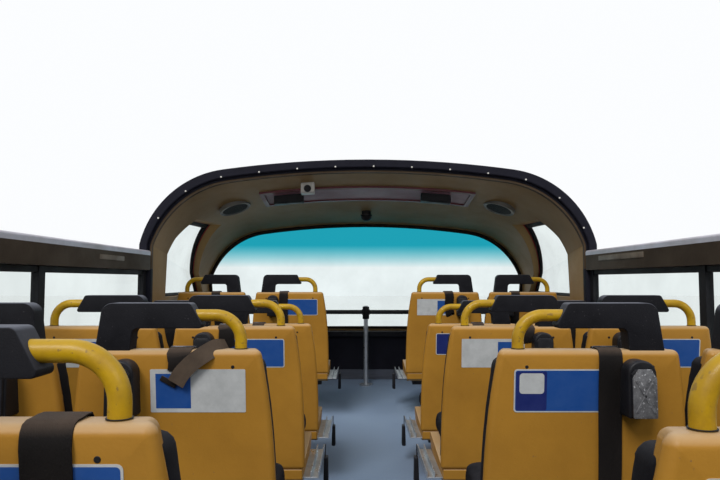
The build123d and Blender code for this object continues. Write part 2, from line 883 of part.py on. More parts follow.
# Belt loop: a metal bridge over the strap on the crown
loop_wide = strap_wide + 16.0
loop_high = 12.0
loop_long = 10.0
loop_wall = 3.0
with BuildPart() as loop:
    with Locations((strap_x, handle_y, back_top)):
        Box(loop_wide, loop_long, loop_high, align=base_align)
        Box(loop_wide - 2 * loop_wall, loop_long, loop_high - loop_wall, align=base_align,
            mode=Mode.SUBTRACT)
fit_to_seats(loop.part, "belt_loops", plus_places, minus_places)

# Metal channel on the aisle side of the pans, open at the top
channel_y = recline + 20.0
channel_long = pan_long - 60.0
channel_z = back_bottom - 34.0
with BuildPart() as channel:
    with Locations((pan_half, channel_y, channel_z)):
        Box(channel_wide, channel_long, channel_wall, align=(Align.MIN, Align.MIN, Align.MIN))
    with Locations(
        (pan_half + channel_wide, channel_y, channel_z),
        (pan_half + channel_wide - channel_gap, channel_y, channel_z),
    ):
        Box(channel_wall, channel_long, channel_high, align=(Align.MAX, Align.MIN, Align.MIN))
fit_to_seats(channel.part, "seat_side_channels", aisle_plus, aisle_minus)

# Belt buckle hanging on its webbing from the channel
hang_x = pan_half + channel_wide
hang_y = recline + pan_long - 90.0
hang_top = channel_z + channel_high
with BuildPart() as buckle:
    with Locations((hang_x, hang_y, hang_top)):
        Box(strap_thick, buckle_strap_wide, buckle_drop, align=(Align.MIN, Align.CENTER, Align.MAX))
    with Locations((hang_x, hang_y, hang_top - buckle_drop)):
        Box(buckle_thick, buckle_wide, buckle_long, align=(Align.MIN, Align.CENTER, Align.MAX))
fit_to_seats(buckle.part, "belt_buckles", aisle_plus, aisle_minus)

# Pedestals: a cross beam under each pair with two legs
beam_high = 40.0
beam_long = 60.0
beam_side = 180.0
leg_wide = 40.0
leg_long = 60.0
pedestal_y = recline + 200.0
beam_top = back_bottom - 52.0
pair_half = (window_seat_x - aisle_seat_x) / 2
with BuildPart() as pedestal:
    with Locations((0, pedestal_y, beam_top - beam_high)):
        Box(2 * (pair_half + beam_side), beam_long, beam_high, align=base_align)
    with Locations((0, pedestal_y, -floor_z)):
        with GridLocations(2 * pair_half, 1, 2, 1):
            Box(leg_wide, leg_long, beam_top - beam_high + floor_z, align=base_align)
with BuildPart() as pedestals:
    with Locations(*pair_places):
        add(pedestal.part)
    add(ground.part, mode=Mode.SUBTRACT)
pedestals.part.label = "seat_pedestals"
export_step(pedestals.part, "parts/seat_pedestals.step")
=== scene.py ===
import json
import math
import random

import bmesh
import bpy
from mathutils import Matrix, Vector


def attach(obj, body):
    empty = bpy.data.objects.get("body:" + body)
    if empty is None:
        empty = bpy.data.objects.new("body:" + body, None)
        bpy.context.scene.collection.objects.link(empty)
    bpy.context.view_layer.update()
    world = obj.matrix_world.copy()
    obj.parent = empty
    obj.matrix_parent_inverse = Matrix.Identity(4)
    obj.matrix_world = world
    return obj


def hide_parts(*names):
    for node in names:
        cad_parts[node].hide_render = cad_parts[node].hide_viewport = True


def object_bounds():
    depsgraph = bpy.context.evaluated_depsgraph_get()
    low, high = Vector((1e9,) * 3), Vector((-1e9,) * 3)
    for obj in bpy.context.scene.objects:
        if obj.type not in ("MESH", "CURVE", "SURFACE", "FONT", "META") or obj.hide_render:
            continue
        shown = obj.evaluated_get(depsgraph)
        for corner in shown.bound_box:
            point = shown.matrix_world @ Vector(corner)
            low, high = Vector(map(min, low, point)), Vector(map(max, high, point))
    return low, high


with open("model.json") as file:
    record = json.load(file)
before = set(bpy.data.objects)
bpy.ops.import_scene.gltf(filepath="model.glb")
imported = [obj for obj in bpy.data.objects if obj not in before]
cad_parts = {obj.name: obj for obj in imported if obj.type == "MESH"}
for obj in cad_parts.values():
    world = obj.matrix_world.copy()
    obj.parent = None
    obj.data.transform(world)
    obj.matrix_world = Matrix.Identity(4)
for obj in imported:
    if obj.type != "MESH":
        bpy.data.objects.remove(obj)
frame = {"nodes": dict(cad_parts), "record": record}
nodes = frame["nodes"]
size_at_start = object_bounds()
slots = {row["node"]: row["material_slot"] for row in frame["record"]["subparts"]}
HALF_WIDE, HALF_LONG = size_at_start[1][0], -size_at_start[0][1]

# Seat back in metres, local to a seat: x across, y forward from the shell's rear edge, z up
BACK_TOP = 0.794
BACK_LOW = 0.300
HALF_LOW = 0.233
TOP_NARROWING = 0.033
RECLINE = 0.068
SHELL_THICK = 0.052
CROWN_ROUND = 0.016
CROWN_CORNER = 0.013
FOOT_CORNER = 0.012
CORNER_STEPS = 7
SIDE_POINTS = 10
CROWN_POINTS = 6
REAR_ROUND = 0.014
REAR_STEPS = 6
HOLE_X = 0.14
HOLE_Z = 0.757
HOLE = 0.004

# Grab handle, and the pad that carries its end
HANDLE_X = 0.153
HANDLE_Y = 0.030
BAR_Z = 0.870
BEND = 0.058
TUBE = 0.0135
# Radius of the dark ring at a handle's foot, painted shade where the tube enters the crown
FOOT_SHADE_RADIUS = 0.0155
PAD_END = 0.046
PAD_END_LOW = 0.027
PAD_END_TOP = 0.004
PAD_FAR = -0.156
PAD_HIGH = 0.057
PAD_DEEP = 0.044
LEG_WIDE = 0.068
LEG_SLANT = 0.015
LEG_NARROWING = 0.004
LEG_SINK = 0.004

# Belt: retractor, its cover plate, and the webbing over the crown
REEL_X = -0.098
REEL_TOP = 0.776
REEL_LOW = 0.652
REEL_HALF = 0.031
PLATE_Y = -0.0525
CROSS_Z = (REEL_LOW + REEL_TOP) / 2 - 0.012
CROSS_HALF_X = 0.019
CROSS_HALF_Z = 0.034
CROSS_BAR = 0.0022
CROSS_TILT = 0.56
STRAP_HALF = 0.026
NEAR_STRAP_HALF = 0.0285
WORN_BAND_HALF = 0.019
STRAP_TOP = BACK_TOP + 0.0022
STRAP_STEP = 0.014
STRAP_FROM = 0.026
STRAP_OFF = 0.0034
BAND_STEPS = 8
GUIDE_GAP = 0.0022
GUIDE_Y = 0.034
GUIDE_WIRE = 0.0015
HANG_X = 0.281
HANG_Y = RECLINE + 0.34
HANG_Z = BACK_LOW - 0.01

# Cushions
BACK_PAD_SWELL = 0.008
BASE_PAD_SWELL = 0.01
PAD_EDGE = 0.05
PAD_VOXEL = 0.006
PAD_PRESSURE = 4.0
PAD_TRIANGLES = 2600
CLOTH_FRAMES = 20

# Seats nearer to the deck's middle than the limit stand at the aisle, and rows lie further apart
# than the gap. Three seats differ: side, place and row counted from the front
AISLE_LIMIT = 0.7
ROW_GAP = 0.1
NEAR_LEFT = ("left", "aisle", 5)
WORN_BELT = ("left", "aisle", 4)
PLATED_REEL = ("right", "aisle", 4)

# Hood, in the frame of the deck: the arch at its rim, from which it falls to the front
RIM_Y = 1.41
RIM_DEEP = 0.028
HOOD_FALL = 0.139
HOOD_WALL = 0.062
ARCH_SIDE = 1.25
ARCH_KNEE = 1.230
SHOULDER_X = 0.8
SHOULDER_Z = 1.643
ARCH_CROWN = 1.698
ARCH_FOOT = 0.7
ARCH_STEPS = 14
SCREW_LINE = 0.036
SCREW_FIRST = 0.1
SCREW_STEP = 0.21
SCREW = 0.0048
RECESS_Y = RIM_Y + 0.425
RECESS_HALF_X = 0.619
RECESS_HALF_Y = 0.124
RECESS_STEPS = 24
SPEAKER_X = 0.828
SPEAKER_Y = RIM_Y + 0.48
SPEAKER_LEAN = 20
CLAMP_Y = 2.708
CLAMP_Z = 0.798

# Meshes: the angles in degrees that stay sharp or are rounded, and how near counts as the same
SMOOTH_ANGLE = 38.0
BEVEL_ANGLE = 35
WELD = 0.00005
SAME_DIGITS = 5
TOLERANCE = 1e-6
LATHE_SIDES = 28

# Values of noise, normals and angles between which a finish changes; two more numbers are what
# they turn into
PATCH_RANGE = (0.35, 0.68)
SMEAR_RANGE = (0.35, 0.7)
DUST_AND_TOP_LIGHT_RANGE = (0.3, 0.6, 0.55, 1.0)
ROUGH_RANGE = (0.3, 0.7)
UPWARD_RANGE = (0.25, 0.95)
FORWARD_RANGE = (0.02, 0.06)
MIRROR_RANGE = (0.62, 1.0, 0.0, 0.3)
SKIN_FROM, SKIN_TO = 0.002, 0.001
SPECK_BLUR = 0.05
SMEAR_TINT = 0.94
BUMP_DEPTH = 0.002

finishes = {}


def nodes_of(name):
    """A new finish: its node tree's nodes, its maker of nodes and its linker."""
    material = finishes[name] = bpy.data.materials.new(name)
    material.use_nodes = True
    tree = material.node_tree
    return tree.nodes, tree.nodes.new, tree.links.new


def mixed(new, link, factor, first, second):
    """Colour between two colours or outputs by an output."""
    node = new("ShaderNodeMix")
    node.data_type = "RGBA"
    link(factor, node.inputs[0])
    for socket, value in ((node.inputs[6], first), (node.inputs[7], second)):
        if isinstance(value, bpy.types.NodeSocket):
            link(value, socket)
        else:
            socket.default_value = (*value, 1)
    return node.outputs[2]


def ranged(new, link, value, low, high, to_low=0.0, to_high=1.0):
    """Value mapped from low..high to to_low..to_high and clamped."""
    node = new("ShaderNodeMapRange")
    link(value, node.inputs["Value"])
    for socket, number in (
        ("From Min", low), ("From Max", high), ("To Min", to_low), ("To Max", to_high),
    ):
        node.inputs[socket].default_value = number
    return node.outputs["Result"]


def noise(new, link, place, scale, detail, rough):
    """Noise value at a place."""
    node = new("ShaderNodeTexNoise")
    link(place, node.inputs["Vector"])
    node.inputs["Scale"].default_value = scale
    node.inputs["Detail"].default_value = detail
    node.inputs["Roughness"].default_value = rough
    return node.outputs["Fac"]


def calculated(new, link, operation, *values):
    """Result of a math operation on outputs."""
    node = new("ShaderNodeMath")
    node.operation = operation
    for value, socket in zip(values, node.inputs):
        link(value, socket)
    return node.outputs[0]


def axes_of(new, link, vector):
    """The X, Y and Z outputs of a vector."""
    node = new("ShaderNodeSeparateXYZ")
    link(vector, node.inputs[0])
    return node.outputs


def outside_share(new, link, test):
    """1 on a wall's outer face: test is (axis, distance from the middle), or the front."""
    place = axes_of(new, link, new("ShaderNodeTexCoord").outputs["Object"])

    def beyond(axis, distance):
        size = calculated(new, link, "ABSOLUTE", place[axis])
        return ranged(new, link, size, distance - SKIN_FROM, distance - SKIN_TO)

    if test != "front":
        return beyond(*test)
    normal = axes_of(new, link, new("ShaderNodeNewGeometry").outputs["Normal"])
    forward = ranged(new, link, normal["Y"], *FORWARD_RANGE)
    return calculated(new, link, "MAXIMUM", forward, beyond("X", HALF_WIDE))


def surface(
    name, base, worn, rough, spread, metal=0.0, patch=5.0, grain=220.0, bump=0.1, top=None,
    specks=None, stretch=None, coat=0.0, shine=0.5, inner=None,
):
    """Painted, moulded or metal finish: broad worn patches, fine grain, and upward faces lightened
    in patches by dust and painted sky light.

    top is (colour, share): dust and painted sky light on upward faces; specks is (colour, scale,
    edge); inner is (test, base, worn): the colours where outside_share of the test is nought.
    """
    tree, new, link = nodes_of(name)
    shader = tree["Principled BSDF"]
    coords = new("ShaderNodeTexCoord").outputs["Object"]
    if stretch:
        mapping = new("ShaderNodeMapping")
        mapping.inputs["Scale"].default_value = stretch
        link(coords, mapping.inputs["Vector"])
        coords = mapping.outputs["Vector"]
    broad = noise(new, link, coords, patch, detail=6.0, rough=0.65)
    patches = ranged(new, link, broad, *PATCH_RANGE)
    colour = mixed(new, link, patches, base, worn)
    if inner:
        test, inner_base, inner_worn = inner
        within = mixed(new, link, patches, inner_base, inner_worn)
        colour = mixed(new, link, outside_share(new, link, test), within, colour)
    if specks:
        speck_colour, scale, edge = specks
        spot = noise(new, link, coords, scale, detail=2.0, rough=0.5)
        spot = ranged(new, link, spot, edge, edge + SPECK_BLUR)
        colour = mixed(new, link, spot, colour, speck_colour)
    # Upward faces lighter in patches: dust, and painted sky light
    if top:
        top_colour, share = top
        normal = axes_of(new, link, new("ShaderNodeNewGeometry").outputs["Normal"])
        upward = ranged(new, link, normal["Z"], *UPWARD_RANGE, 0.0, share)
        dust_and_top_light = calculated(new, link, "MULTIPLY", upward, ranged(new, link, broad, *DUST_AND_TOP_LIGHT_RANGE))
        colour = mixed(new, link, dust_and_top_light, colour, top_colour)
    link(colour, shader.inputs["Base Color"])
    roughness = ranged(new, link, broad, *ROUGH_RANGE, rough - spread, rough + spread)
    link(roughness, shader.inputs["Roughness"])
    shader.inputs["Metallic"].default_value = metal
    shader.inputs["Coat Weight"].default_value = coat
    shader.inputs["Specular IOR Level"].default_value = shine
    if bump:
        height = new("ShaderNodeBump")
        height.inputs["Strength"].default_value = bump
        height.inputs["Distance"].default_value = BUMP_DEPTH
        fine = noise(new, link, coords, grain, detail=3.0, rough=0.5)
        link(fine, height.inputs["Height"])
        link(height.outputs["Normal"], shader.inputs["Normal"])


def thin_glass(name, clear, band=None):
    """Clear pane that tints what is behind it and mirrors at low angles.

    band is (colour, low, high): a tint that grows between two shares of the pane's height.
    """
    tree, new, link = nodes_of(name)
    tree.remove(tree["Principled BSDF"])
    coords = new("ShaderNodeTexCoord").outputs
    smear = noise(new, link, coords["Object"], 3.0, detail=5.0, rough=0.6)
    smear = ranged(new, link, smear, *SMEAR_RANGE)
    colour = mixed(new, link, smear, clear, tuple(c * SMEAR_TINT for c in clear))
    if band:
        band_colour, low, high = band
        height = axes_of(new, link, coords["Generated"])["Z"]
        colour = mixed(new, link, ranged(new, link, height, low, high), colour, band_colour)
    through = new("ShaderNodeBsdfTransparent")
    link(colour, through.inputs["Color"])
    mirror = new("ShaderNodeBsdfGlossy")
    mirror.inputs["Roughness"].default_value = 0.04
    mirror.inputs["Color"].default_value = (0.5, 0.52, 0.54, 1)
    facing = new("ShaderNodeLayerWeight")
    facing.inputs["Blend"].default_value = 0.5
    blend = new("ShaderNodeMixShader")
    link(ranged(new, link, facing.outputs["Facing"], *MIRROR_RANGE), blend.inputs[0])
    link(through.outputs[0], blend.inputs[1])
    link(mirror.outputs[0], blend.inputs[2])
    link(blend.outputs[0], tree["Material Output"].inputs["Surface"])


# Finishes of the material slots: base and worn colour, roughness and its spread, and the rest
PAINT = ((0.29, 0.014, 0.018), (0.24, 0.012, 0.016))
INSIDE = ((0.05, 0.04, 0.032), (0.036, 0.031, 0.028))
DARK = ((0.009, 0.009, 0.012), (0.016, 0.016, 0.02))
# A top entry lightens upward faces in patches: painted sky light, and on the shells dust and
# fading too
surface("seat_shell", (0.4, 0.195, 0.027), (0.32, 0.152, 0.02), 0.45, 0.1, patch=4.0, bump=0.12,
        top=((0.48, 0.34, 0.2), 0.9), specks=((0.24, 0.13, 0.045), 130.0, 0.72), shine=0.2)
surface("yellow_tube", (0.46, 0.275, 0.006), (0.32, 0.178, 0.008), 0.42, 0.1, patch=26.0, bump=0.1,
        top=((0.5, 0.33, 0.03), 0.35), specks=((0.24, 0.14, 0.02), 110.0, 0.64), coat=0.05,
        shine=0.25)
surface("pad_rubber", (0.005, 0.005, 0.007), (0.01, 0.01, 0.013), 0.6, 0.1, patch=12.0, bump=0.25,
        grain=500.0, top=((0.14, 0.15, 0.185), 0.85), specks=((0.05, 0.048, 0.05), 260.0, 0.7),
        shine=0.12)
surface("black_plastic", (0.008, 0.008, 0.01), (0.014, 0.014, 0.016), 0.42, 0.1, patch=14.0,
        bump=0.15, grain=420.0, top=((0.04, 0.04, 0.05), 0.5), shine=0.15)
surface("webbing", (0.007, 0.006, 0.006), (0.015, 0.012, 0.011), 0.75, 0.08, patch=9.0, bump=0.6,
        grain=900.0, stretch=(1, 0.35, 0.35), top=((0.1, 0.072, 0.055), 0.8), shine=0.1)
surface("polished_metal", (0.55, 0.57, 0.6), (0.36, 0.38, 0.41), 0.32, 0.08, metal=0.7,
        patch=9.0, bump=0.03)
surface("dash_vinyl", (0.006, 0.006, 0.011), (0.011, 0.011, 0.018), 0.55, 0.1, bump=0.3,
        grain=380.0, top=((0.03, 0.03, 0.038), 0.5), shine=0.12)
surface("frame_steel", (0.03, 0.031, 0.035), (0.055, 0.05, 0.048), 0.55, 0.12, patch=8.0,
        bump=0.15, shine=0.3)
surface("floor_board", (0.3, 0.2, 0.11), (0.22, 0.14, 0.08), 0.7, 0.08, patch=3.0, bump=0.3,
        stretch=(6, 1, 6))
surface("floor_vinyl", (0.175, 0.242, 0.36), (0.216, 0.288, 0.4), 0.45, 0.14, patch=2.6, bump=0.2,
        grain=260.0, specks=((0.27, 0.31, 0.36), 150.0, 0.68), shine=0.3)
surface("black_tube", (0.012, 0.012, 0.015), (0.03, 0.028, 0.028), 0.35, 0.1, patch=16.0,
        bump=0.06, shine=0.3)
surface("body_paint", *PAINT, 0.38, 0.06, patch=1.6, bump=0.02, grain=60.0,
        top=((0.32, 0.035, 0.036), 0.25), coat=0.15, shine=0.3)
surface("lining", (0.3, 0.19, 0.08), (0.23, 0.145, 0.06), 0.55, 0.1, patch=2.2, bump=0.2,
        grain=160.0, shine=0.12)
surface("black_rubber", (0.007, 0.007, 0.009), (0.014, 0.014, 0.016), 0.55, 0.1, patch=10.0,
        bump=0.2, top=((0.03, 0.03, 0.038), 0.4), shine=0.12)
surface("kick_metal", (0.12, 0.13, 0.16), (0.08, 0.088, 0.11), 0.45, 0.1, metal=0.6, patch=3.0,
        stretch=(1, 14, 14), bump=0.08)
surface("seat_fabric", (0.005, 0.005, 0.007), (0.012, 0.012, 0.015), 0.7, 0.1, patch=8.0,
        bump=0.18, grain=260.0, top=((0.035, 0.035, 0.042), 0.5), shine=0.08)
surface("rail_metal", (0.58, 0.57, 0.65), (0.36, 0.35, 0.37), 0.45, 0.12, metal=0.2, patch=2.4,
        bump=0.05, shine=0.3)
surface("recess_trim", (0.1, 0.02, 0.026), (0.15, 0.035, 0.04), 0.4, 0.1, shine=0.3)
surface("white_plastic", (0.62, 0.6, 0.55), (0.5, 0.48, 0.44), 0.4, 0.08, patch=9.0, bump=0.05)
thin_glass("glass", (0.93, 0.96, 0.95))
thin_glass("windscreen_glass", (0.93, 0.965, 0.96), ((0.12, 0.6, 0.68), 0.6, 0.82))

# Finishes of single nodes, which take the place of their slot's
for name, test, inner, shine in (
    ("side_walls_paint", ("X", HALF_WIDE), INSIDE, 0.3),
    ("rear_wall_paint", ("Y", HALF_LONG), INSIDE, 0.3),
    ("front_wall_paint", "front", DARK, 0.2),
):
    surface(name, *PAINT, 0.28, 0.06, patch=1.6, bump=0.02, grain=60.0, inner=(test, *inner),
            shine=shine)
# The rails' inner face is the lining darkened, which paints shade on it
surface("rail_lining_painted_shade", (0.06, 0.042, 0.028), (0.036, 0.026, 0.018), 0.55, 0.1, patch=3.0,
        bump=0.15, shine=0.08)
surface("rim_rubber", (0.007, 0.007, 0.012), (0.012, 0.012, 0.019), 0.6, 0.1, patch=8.0, bump=0.2,
        shine=0.08)
surface("screen_bond", (0.03, 0.021, 0.012), (0.018, 0.013, 0.009), 0.6, 0.1, patch=6.0,
        shine=0.1)
own_finishes = {
    "side_walls": "side_walls_paint", "rear_wall": "rear_wall_paint",
    "front_wall": "front_wall_paint", "rail_linings": "rail_lining_painted_shade",
    "hood_rim_seal": "rim_rubber", "windscreen_seal": "screen_bond",
}

# Finishes of the small pieces
surface("reel_plate", (0.2, 0.2, 0.21), (0.07, 0.07, 0.075), 0.4, 0.12, metal=0.4, patch=60.0,
        bump=0.2, grain=300.0, specks=((0.42, 0.42, 0.44), 180.0, 0.62), shine=0.3)
surface("webbing_worn", (0.1, 0.072, 0.052), (0.06, 0.045, 0.035), 0.8, 0.08, patch=14.0,
        bump=0.6, grain=900.0, shine=0.1)
surface("guide_metal", (0.06, 0.06, 0.07), (0.03, 0.03, 0.034), 0.3, 0.08, metal=0.8, patch=30.0,
        bump=0.04)
surface("sticker_white", (0.5, 0.51, 0.51), (0.4, 0.41, 0.41), 0.4, 0.08, patch=30.0, bump=0.03)
surface("sticker_blue", (0.013, 0.064, 0.255), (0.022, 0.077, 0.265), 0.45, 0.08, patch=26.0,
        bump=0.03, shine=0.2)
surface("sticker_navy", (0.012, 0.02, 0.12), (0.018, 0.028, 0.14), 0.4, 0.08, patch=26.0,
        bump=0.03, shine=0.3)
# Trim at the hood's rim: the lining darkened as painted shade
surface("lining_trim_painted_shade", (0.075, 0.05, 0.03), (0.055, 0.037, 0.022), 0.55, 0.1, shine=0.1)
surface("recess_panel", (0.3, 0.16, 0.19), (0.22, 0.11, 0.14), 0.5, 0.1, patch=4.0, bump=0.05,
        shine=0.3)
surface("speaker_cloth", (0.012, 0.013, 0.014), (0.03, 0.032, 0.033), 0.7, 0.1, patch=9.0,
        bump=0.8, grain=600.0, specks=((0.07, 0.07, 0.07), 420.0, 0.56), shine=0.1)
surface("speaker_rim", (0.16, 0.15, 0.13), (0.1, 0.095, 0.085), 0.4, 0.1, patch=12.0, bump=0.05,
        shine=0.3)
surface("rail_plate", (0.16, 0.13, 0.1), (0.1, 0.08, 0.06), 0.5, 0.1, patch=12.0, shine=0.2)
surface("stage_floor", (0.8, 0.8, 0.8), (0.785, 0.785, 0.785), 0.8, 0.05, patch=0.5, bump=0)

for name, obj in nodes.items():
    obj.data.materials.clear()
    obj.data.materials.append(finishes[own_finishes.get(name, slots[name])])

# Nodes whose sharp edges are rounded, and by how much; each keeps its own mesh
for node, width in (
    ("pane_posts", 0.003), ("pane_seals", 0.003), ("top_rail_rear", 0.004), ("dash_panel", 0.006),
    ("ceiling_boxes", 0.005), ("ceiling_camera", 0.008), ("seat_side_channels", 0.0008),
    ("seat_pedestals", 0.002), ("side_walls", 0.004), ("rear_wall", 0.004), ("front_wall", 0.004),
    ("kick_strip", 0.002), ("seat_pans", 0.004), ("hood_rim_seal", 0.008),
    ("windscreen_seal", 0.005), ("quarter_seals", 0.004),
):
    weld = nodes[node].modifiers.new("weld", "WELD")
    weld.merge_threshold = WELD
    bevel = nodes[node].modifiers.new("bevel", "BEVEL")
    bevel.width = width
    bevel.segments = 2
    bevel.limit_method = "ANGLE"
    bevel.angle_limit = math.radians(BEVEL_ANGLE)
    bevel.harden_normals = True


def scene_object(name, data):
    """New object in the scene."""
    obj = bpy.data.objects.new(name, data)
    bpy.context.scene.collection.objects.link(obj)
    return obj


def mesh_object(name, shape, material, angle=SMOOTH_ANGLE):
    """Object from a shape, smooth except at edges sharper than the angle."""
    mesh = bpy.data.meshes.new(name)
    mesh.from_pydata(shape[0], [], shape[1])
    mesh.validate()
    mesh.shade_smooth()
    mesh.set_sharp_from_angle(angle=math.radians(angle))
    mesh.materials.append(finishes[material])
    return scene_object(name, mesh)


def part(name, shape, material, angle=SMOOTH_ANGLE):
    """Piece of the deck from a shape."""
    obj = mesh_object(name, shape, material, angle)
    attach(obj, "root")
    return obj


def joined(shapes):
    """One shape, as (verts, faces), from several."""
    verts, faces = [], []
    for more_verts, more_faces in shapes:
        start = len(verts)
        verts += more_verts
        faces += [tuple(start + i for i in face) for face in more_faces]
    return verts, faces


def turned(shape, matrix):
    """Shape moved by a matrix, its faces turned round if the matrix mirrors it."""
    verts = [tuple(matrix @ Vector(v)) for v in shape[0]]
    if matrix.determinant() < 0:
        return verts, [tuple(reversed(face)) for face in shape[1]]
    return verts, list(shape[1])


def of_bmesh(bm):
    """Shape from a bmesh, which is used up."""
    bm.verts.ensure_lookup_table()
    bm.normal_update()
    shape = [tuple(v.co) for v in bm.verts], [tuple(v.index for v in f.verts) for f in bm.faces]
    bm.free()
    return shape


def solid(verts, faces):
    """Closed shape with all its faces turned outward."""
    bm = bmesh.new()
    made = [bm.verts.new(v) for v in verts]
    for face in faces:
        bm.faces.new([made[k] for k in face])
    bmesh.ops.recalc_face_normals(bm, faces=bm.faces)
    return of_bmesh(bm)


def stacked(rings):
    """Closed shape over rings that have the same number of points, capped at both ends."""
    count = len(rings[0])
    faces = []
    for i in range(len(rings) - 1):
        low, high = i * count, (i + 1) * count
        for k in range(count):
            n = (k + 1) % count
            faces.append((low + k, low + n, high + n, high + k))
    faces.append(tuple(reversed(range(count))))
    faces.append(tuple((len(rings) - 1) * count + k for k in range(count)))
    return solid([v for ring in rings for v in ring], faces)


def round_edges(bm, edges, width, steps):
    """Bevels some edges of a bmesh to an arc."""
    bmesh.ops.bevel(bm, geom=edges, offset=width, segments=steps, profile=0.5, affect="EDGES",
                    clamp_overlap=True)


def rounded(points, radii, steps):
    """Closed outline with each corner turned into an arc of its own radius."""
    out = []
    count = len(points)
    for i, radius in enumerate(radii):
        here = Vector(points[i])
        before = (Vector(points[i - 1]) - here).normalized()
        after = (Vector(points[(i + 1) % count]) - here).normalized()
        half = before.angle(after) / 2
        reach = radius / math.tan(half)
        centre = here + (before + after).normalized() * (radius / math.sin(half))
        start = here + before * reach - centre
        end = here + after * reach - centre
        sweep = math.atan2(start.x * end.y - start.y * end.x, start.dot(end))
        for step in range(steps + 1):
            a = sweep * step / steps
            out.append((
                centre.x + start.x * math.cos(a) - start.y * math.sin(a),
                centre.y + start.x * math.sin(a) + start.y * math.cos(a),
            ))
    return out


def prism(outline, near, far, edge, steps, lift=None):
    """Outline in x and z carried from y near to y far, with rounded edges.

    lift is what a height adds to y.
    """
    bm = bmesh.new()
    face = bm.faces.new([bm.verts.new((x, near, z)) for x, z in outline])
    for v in bmesh.ops.extrude_face_region(bm, geom=[face])["geom"]:
        if isinstance(v, bmesh.types.BMVert):
            v.co.y = far
    bmesh.ops.recalc_face_normals(bm, faces=bm.faces)
    if edge:
        flat = [e for e in bm.edges if abs(e.verts[0].co.y - e.verts[1].co.y) < 1e-7]
        round_edges(bm, flat, edge, steps)
    if lift:
        for v in bm.verts:
            v.co.y += lift(v.co.z)
    return of_bmesh(bm)


def block(low, high, edge, steps=2, slope=0.0):
    """Box between two corners with rounded edges, which rises by the slope along y."""
    bm = bmesh.new()
    bmesh.ops.create_cube(bm, size=1)
    for v in bm.verts:
        v.co = Vector([a + (b - a) * (c + 0.5) for a, b, c in zip(low, high, v.co)])
        v.co.z += slope * (v.co.y - low[1])
    if edge:
        round_edges(bm, list(bm.edges), edge, steps)
    return of_bmesh(bm)


def swept(path, section, sides):
    """Closed sweep: section points are (along side, along up) at each point of the path."""
    path = [Vector(p) for p in path]
    rings = []
    for i, point in enumerate(path):
        ahead = path[min(i + 1, len(path) - 1)] - path[max(i - 1, 0)]
        side = Vector(sides[i] if isinstance(sides, list) else sides).normalized()
        up = ahead.normalized().cross(side).normalized()
        side = up.cross(ahead.normalized())
        rings.append([tuple(point + side * a + up * b) for a, b in section])
    return stacked(rings)


def circle(radius, count, x=0.0, z=0.0):
    """Points of a circle round a place."""
    return [(x + radius * math.cos(a), z + radius * math.sin(a))
            for a in (2 * math.pi * k / count for k in range(count))]


def lathe(profile):
    """Closed shape from (radius, height) pairs turned about z."""
    return stacked([[(x, y, z) for x, y in circle(r, LATHE_SIDES)] for r, z in profile])


def arc_path(centre, radius, start, end, steps):
    """Points on an arc in x and z, angles in degrees."""
    out = []
    for k in range(steps + 1):
        a = math.radians(start + (end - start) * k / steps)
        out.append((centre[0] + radius * math.cos(a), centre[1] + radius * math.sin(a)))
    return out


def islands(node):
    """Boxes (low, high) of the separate solids of a CAD node, in the row frame."""
    obj = nodes[node]
    parent = {}

    def root(key):
        while parent[key] != key:
            parent[key] = parent[parent[key]]
            key = parent[key]
        return key

    keys = [tuple(round(c, SAME_DIGITS) for c in obj.matrix_world @ v.co)
            for v in obj.data.vertices]
    for key in keys:
        parent.setdefault(key, key)
    for polygon in obj.data.polygons:
        first = root(keys[polygon.vertices[0]])
        for index in polygon.vertices[1:]:
            parent[root(keys[index])] = first
    groups = {}
    for key in parent:
        groups.setdefault(root(key), []).append(key)
    return sorted(
        tuple(tuple(pick(k[i] for k in group) for i in range(3)) for pick in (min, max))
        for group in groups.values()
    )


def centre_of(box):
    """Middle of a box (low, high)."""
    return [(a + b) / 2 for a, b in zip(*box)]


# Places of the seats: x, y and z of the local origin, and the side of the handle
handle_boxes = islands("grab_handles")
seats = []
for box in islands("seat_back_shells"):
    x, y, top = centre_of(box)[0], box[0][1], box[1][2]
    own = min(handle_boxes, key=lambda b: abs(centre_of(b)[0] - x) + abs(b[0][1] - y))
    seats.append((x, y, top - BACK_TOP, 1 if centre_of(own)[0] > x else -1))
seats.sort(key=lambda s: (round(s[1], 2), s[0]))


def seat_name(x, y):
    """Side, place in the pair, and row counted from the front on that side."""
    rows = {round(s[1], 3) for s in seats if s[0] * x > 0}
    return ("right" if x > 0 else "left", "aisle" if abs(x) < AISLE_LIMIT else "window",
            1 + sum(1 for row in rows if row > y + ROW_GAP))


places = {
    seat_name(x, y): Matrix.Translation((x, y, z)) @ Matrix.Diagonal((hand, 1, 1, 1))
    for x, y, z, hand in seats
}
aisle_places = [matrix for name, matrix in places.items() if name[1] == "aisle"]


def for_seats(name, shape, material, chosen=places.values(), angle=SMOOTH_ANGLE):
    """One object with a copy of the shape at each chosen seat."""
    return part(name, joined(turned(shape, matrix) for matrix in chosen), material, angle)


def back_y(z):
    """Rear face of a shell, which is reclined."""
    start = BACK_TOP - CROWN_ROUND
    return RECLINE * min(max((start - z) / (start - BACK_LOW), 0.0), 1.0)


def front_y(z):
    """Front face of a shell."""
    return SHELL_THICK + RECLINE * (BACK_TOP - z) / (BACK_TOP - BACK_LOW)


def half_at(z):
    """Half width of a shell at a height."""
    t = min(max((z - BACK_LOW) / (BACK_TOP - BACK_LOW), 0.0), 1.0)
    return HALF_LOW - TOP_NARROWING * t ** 3


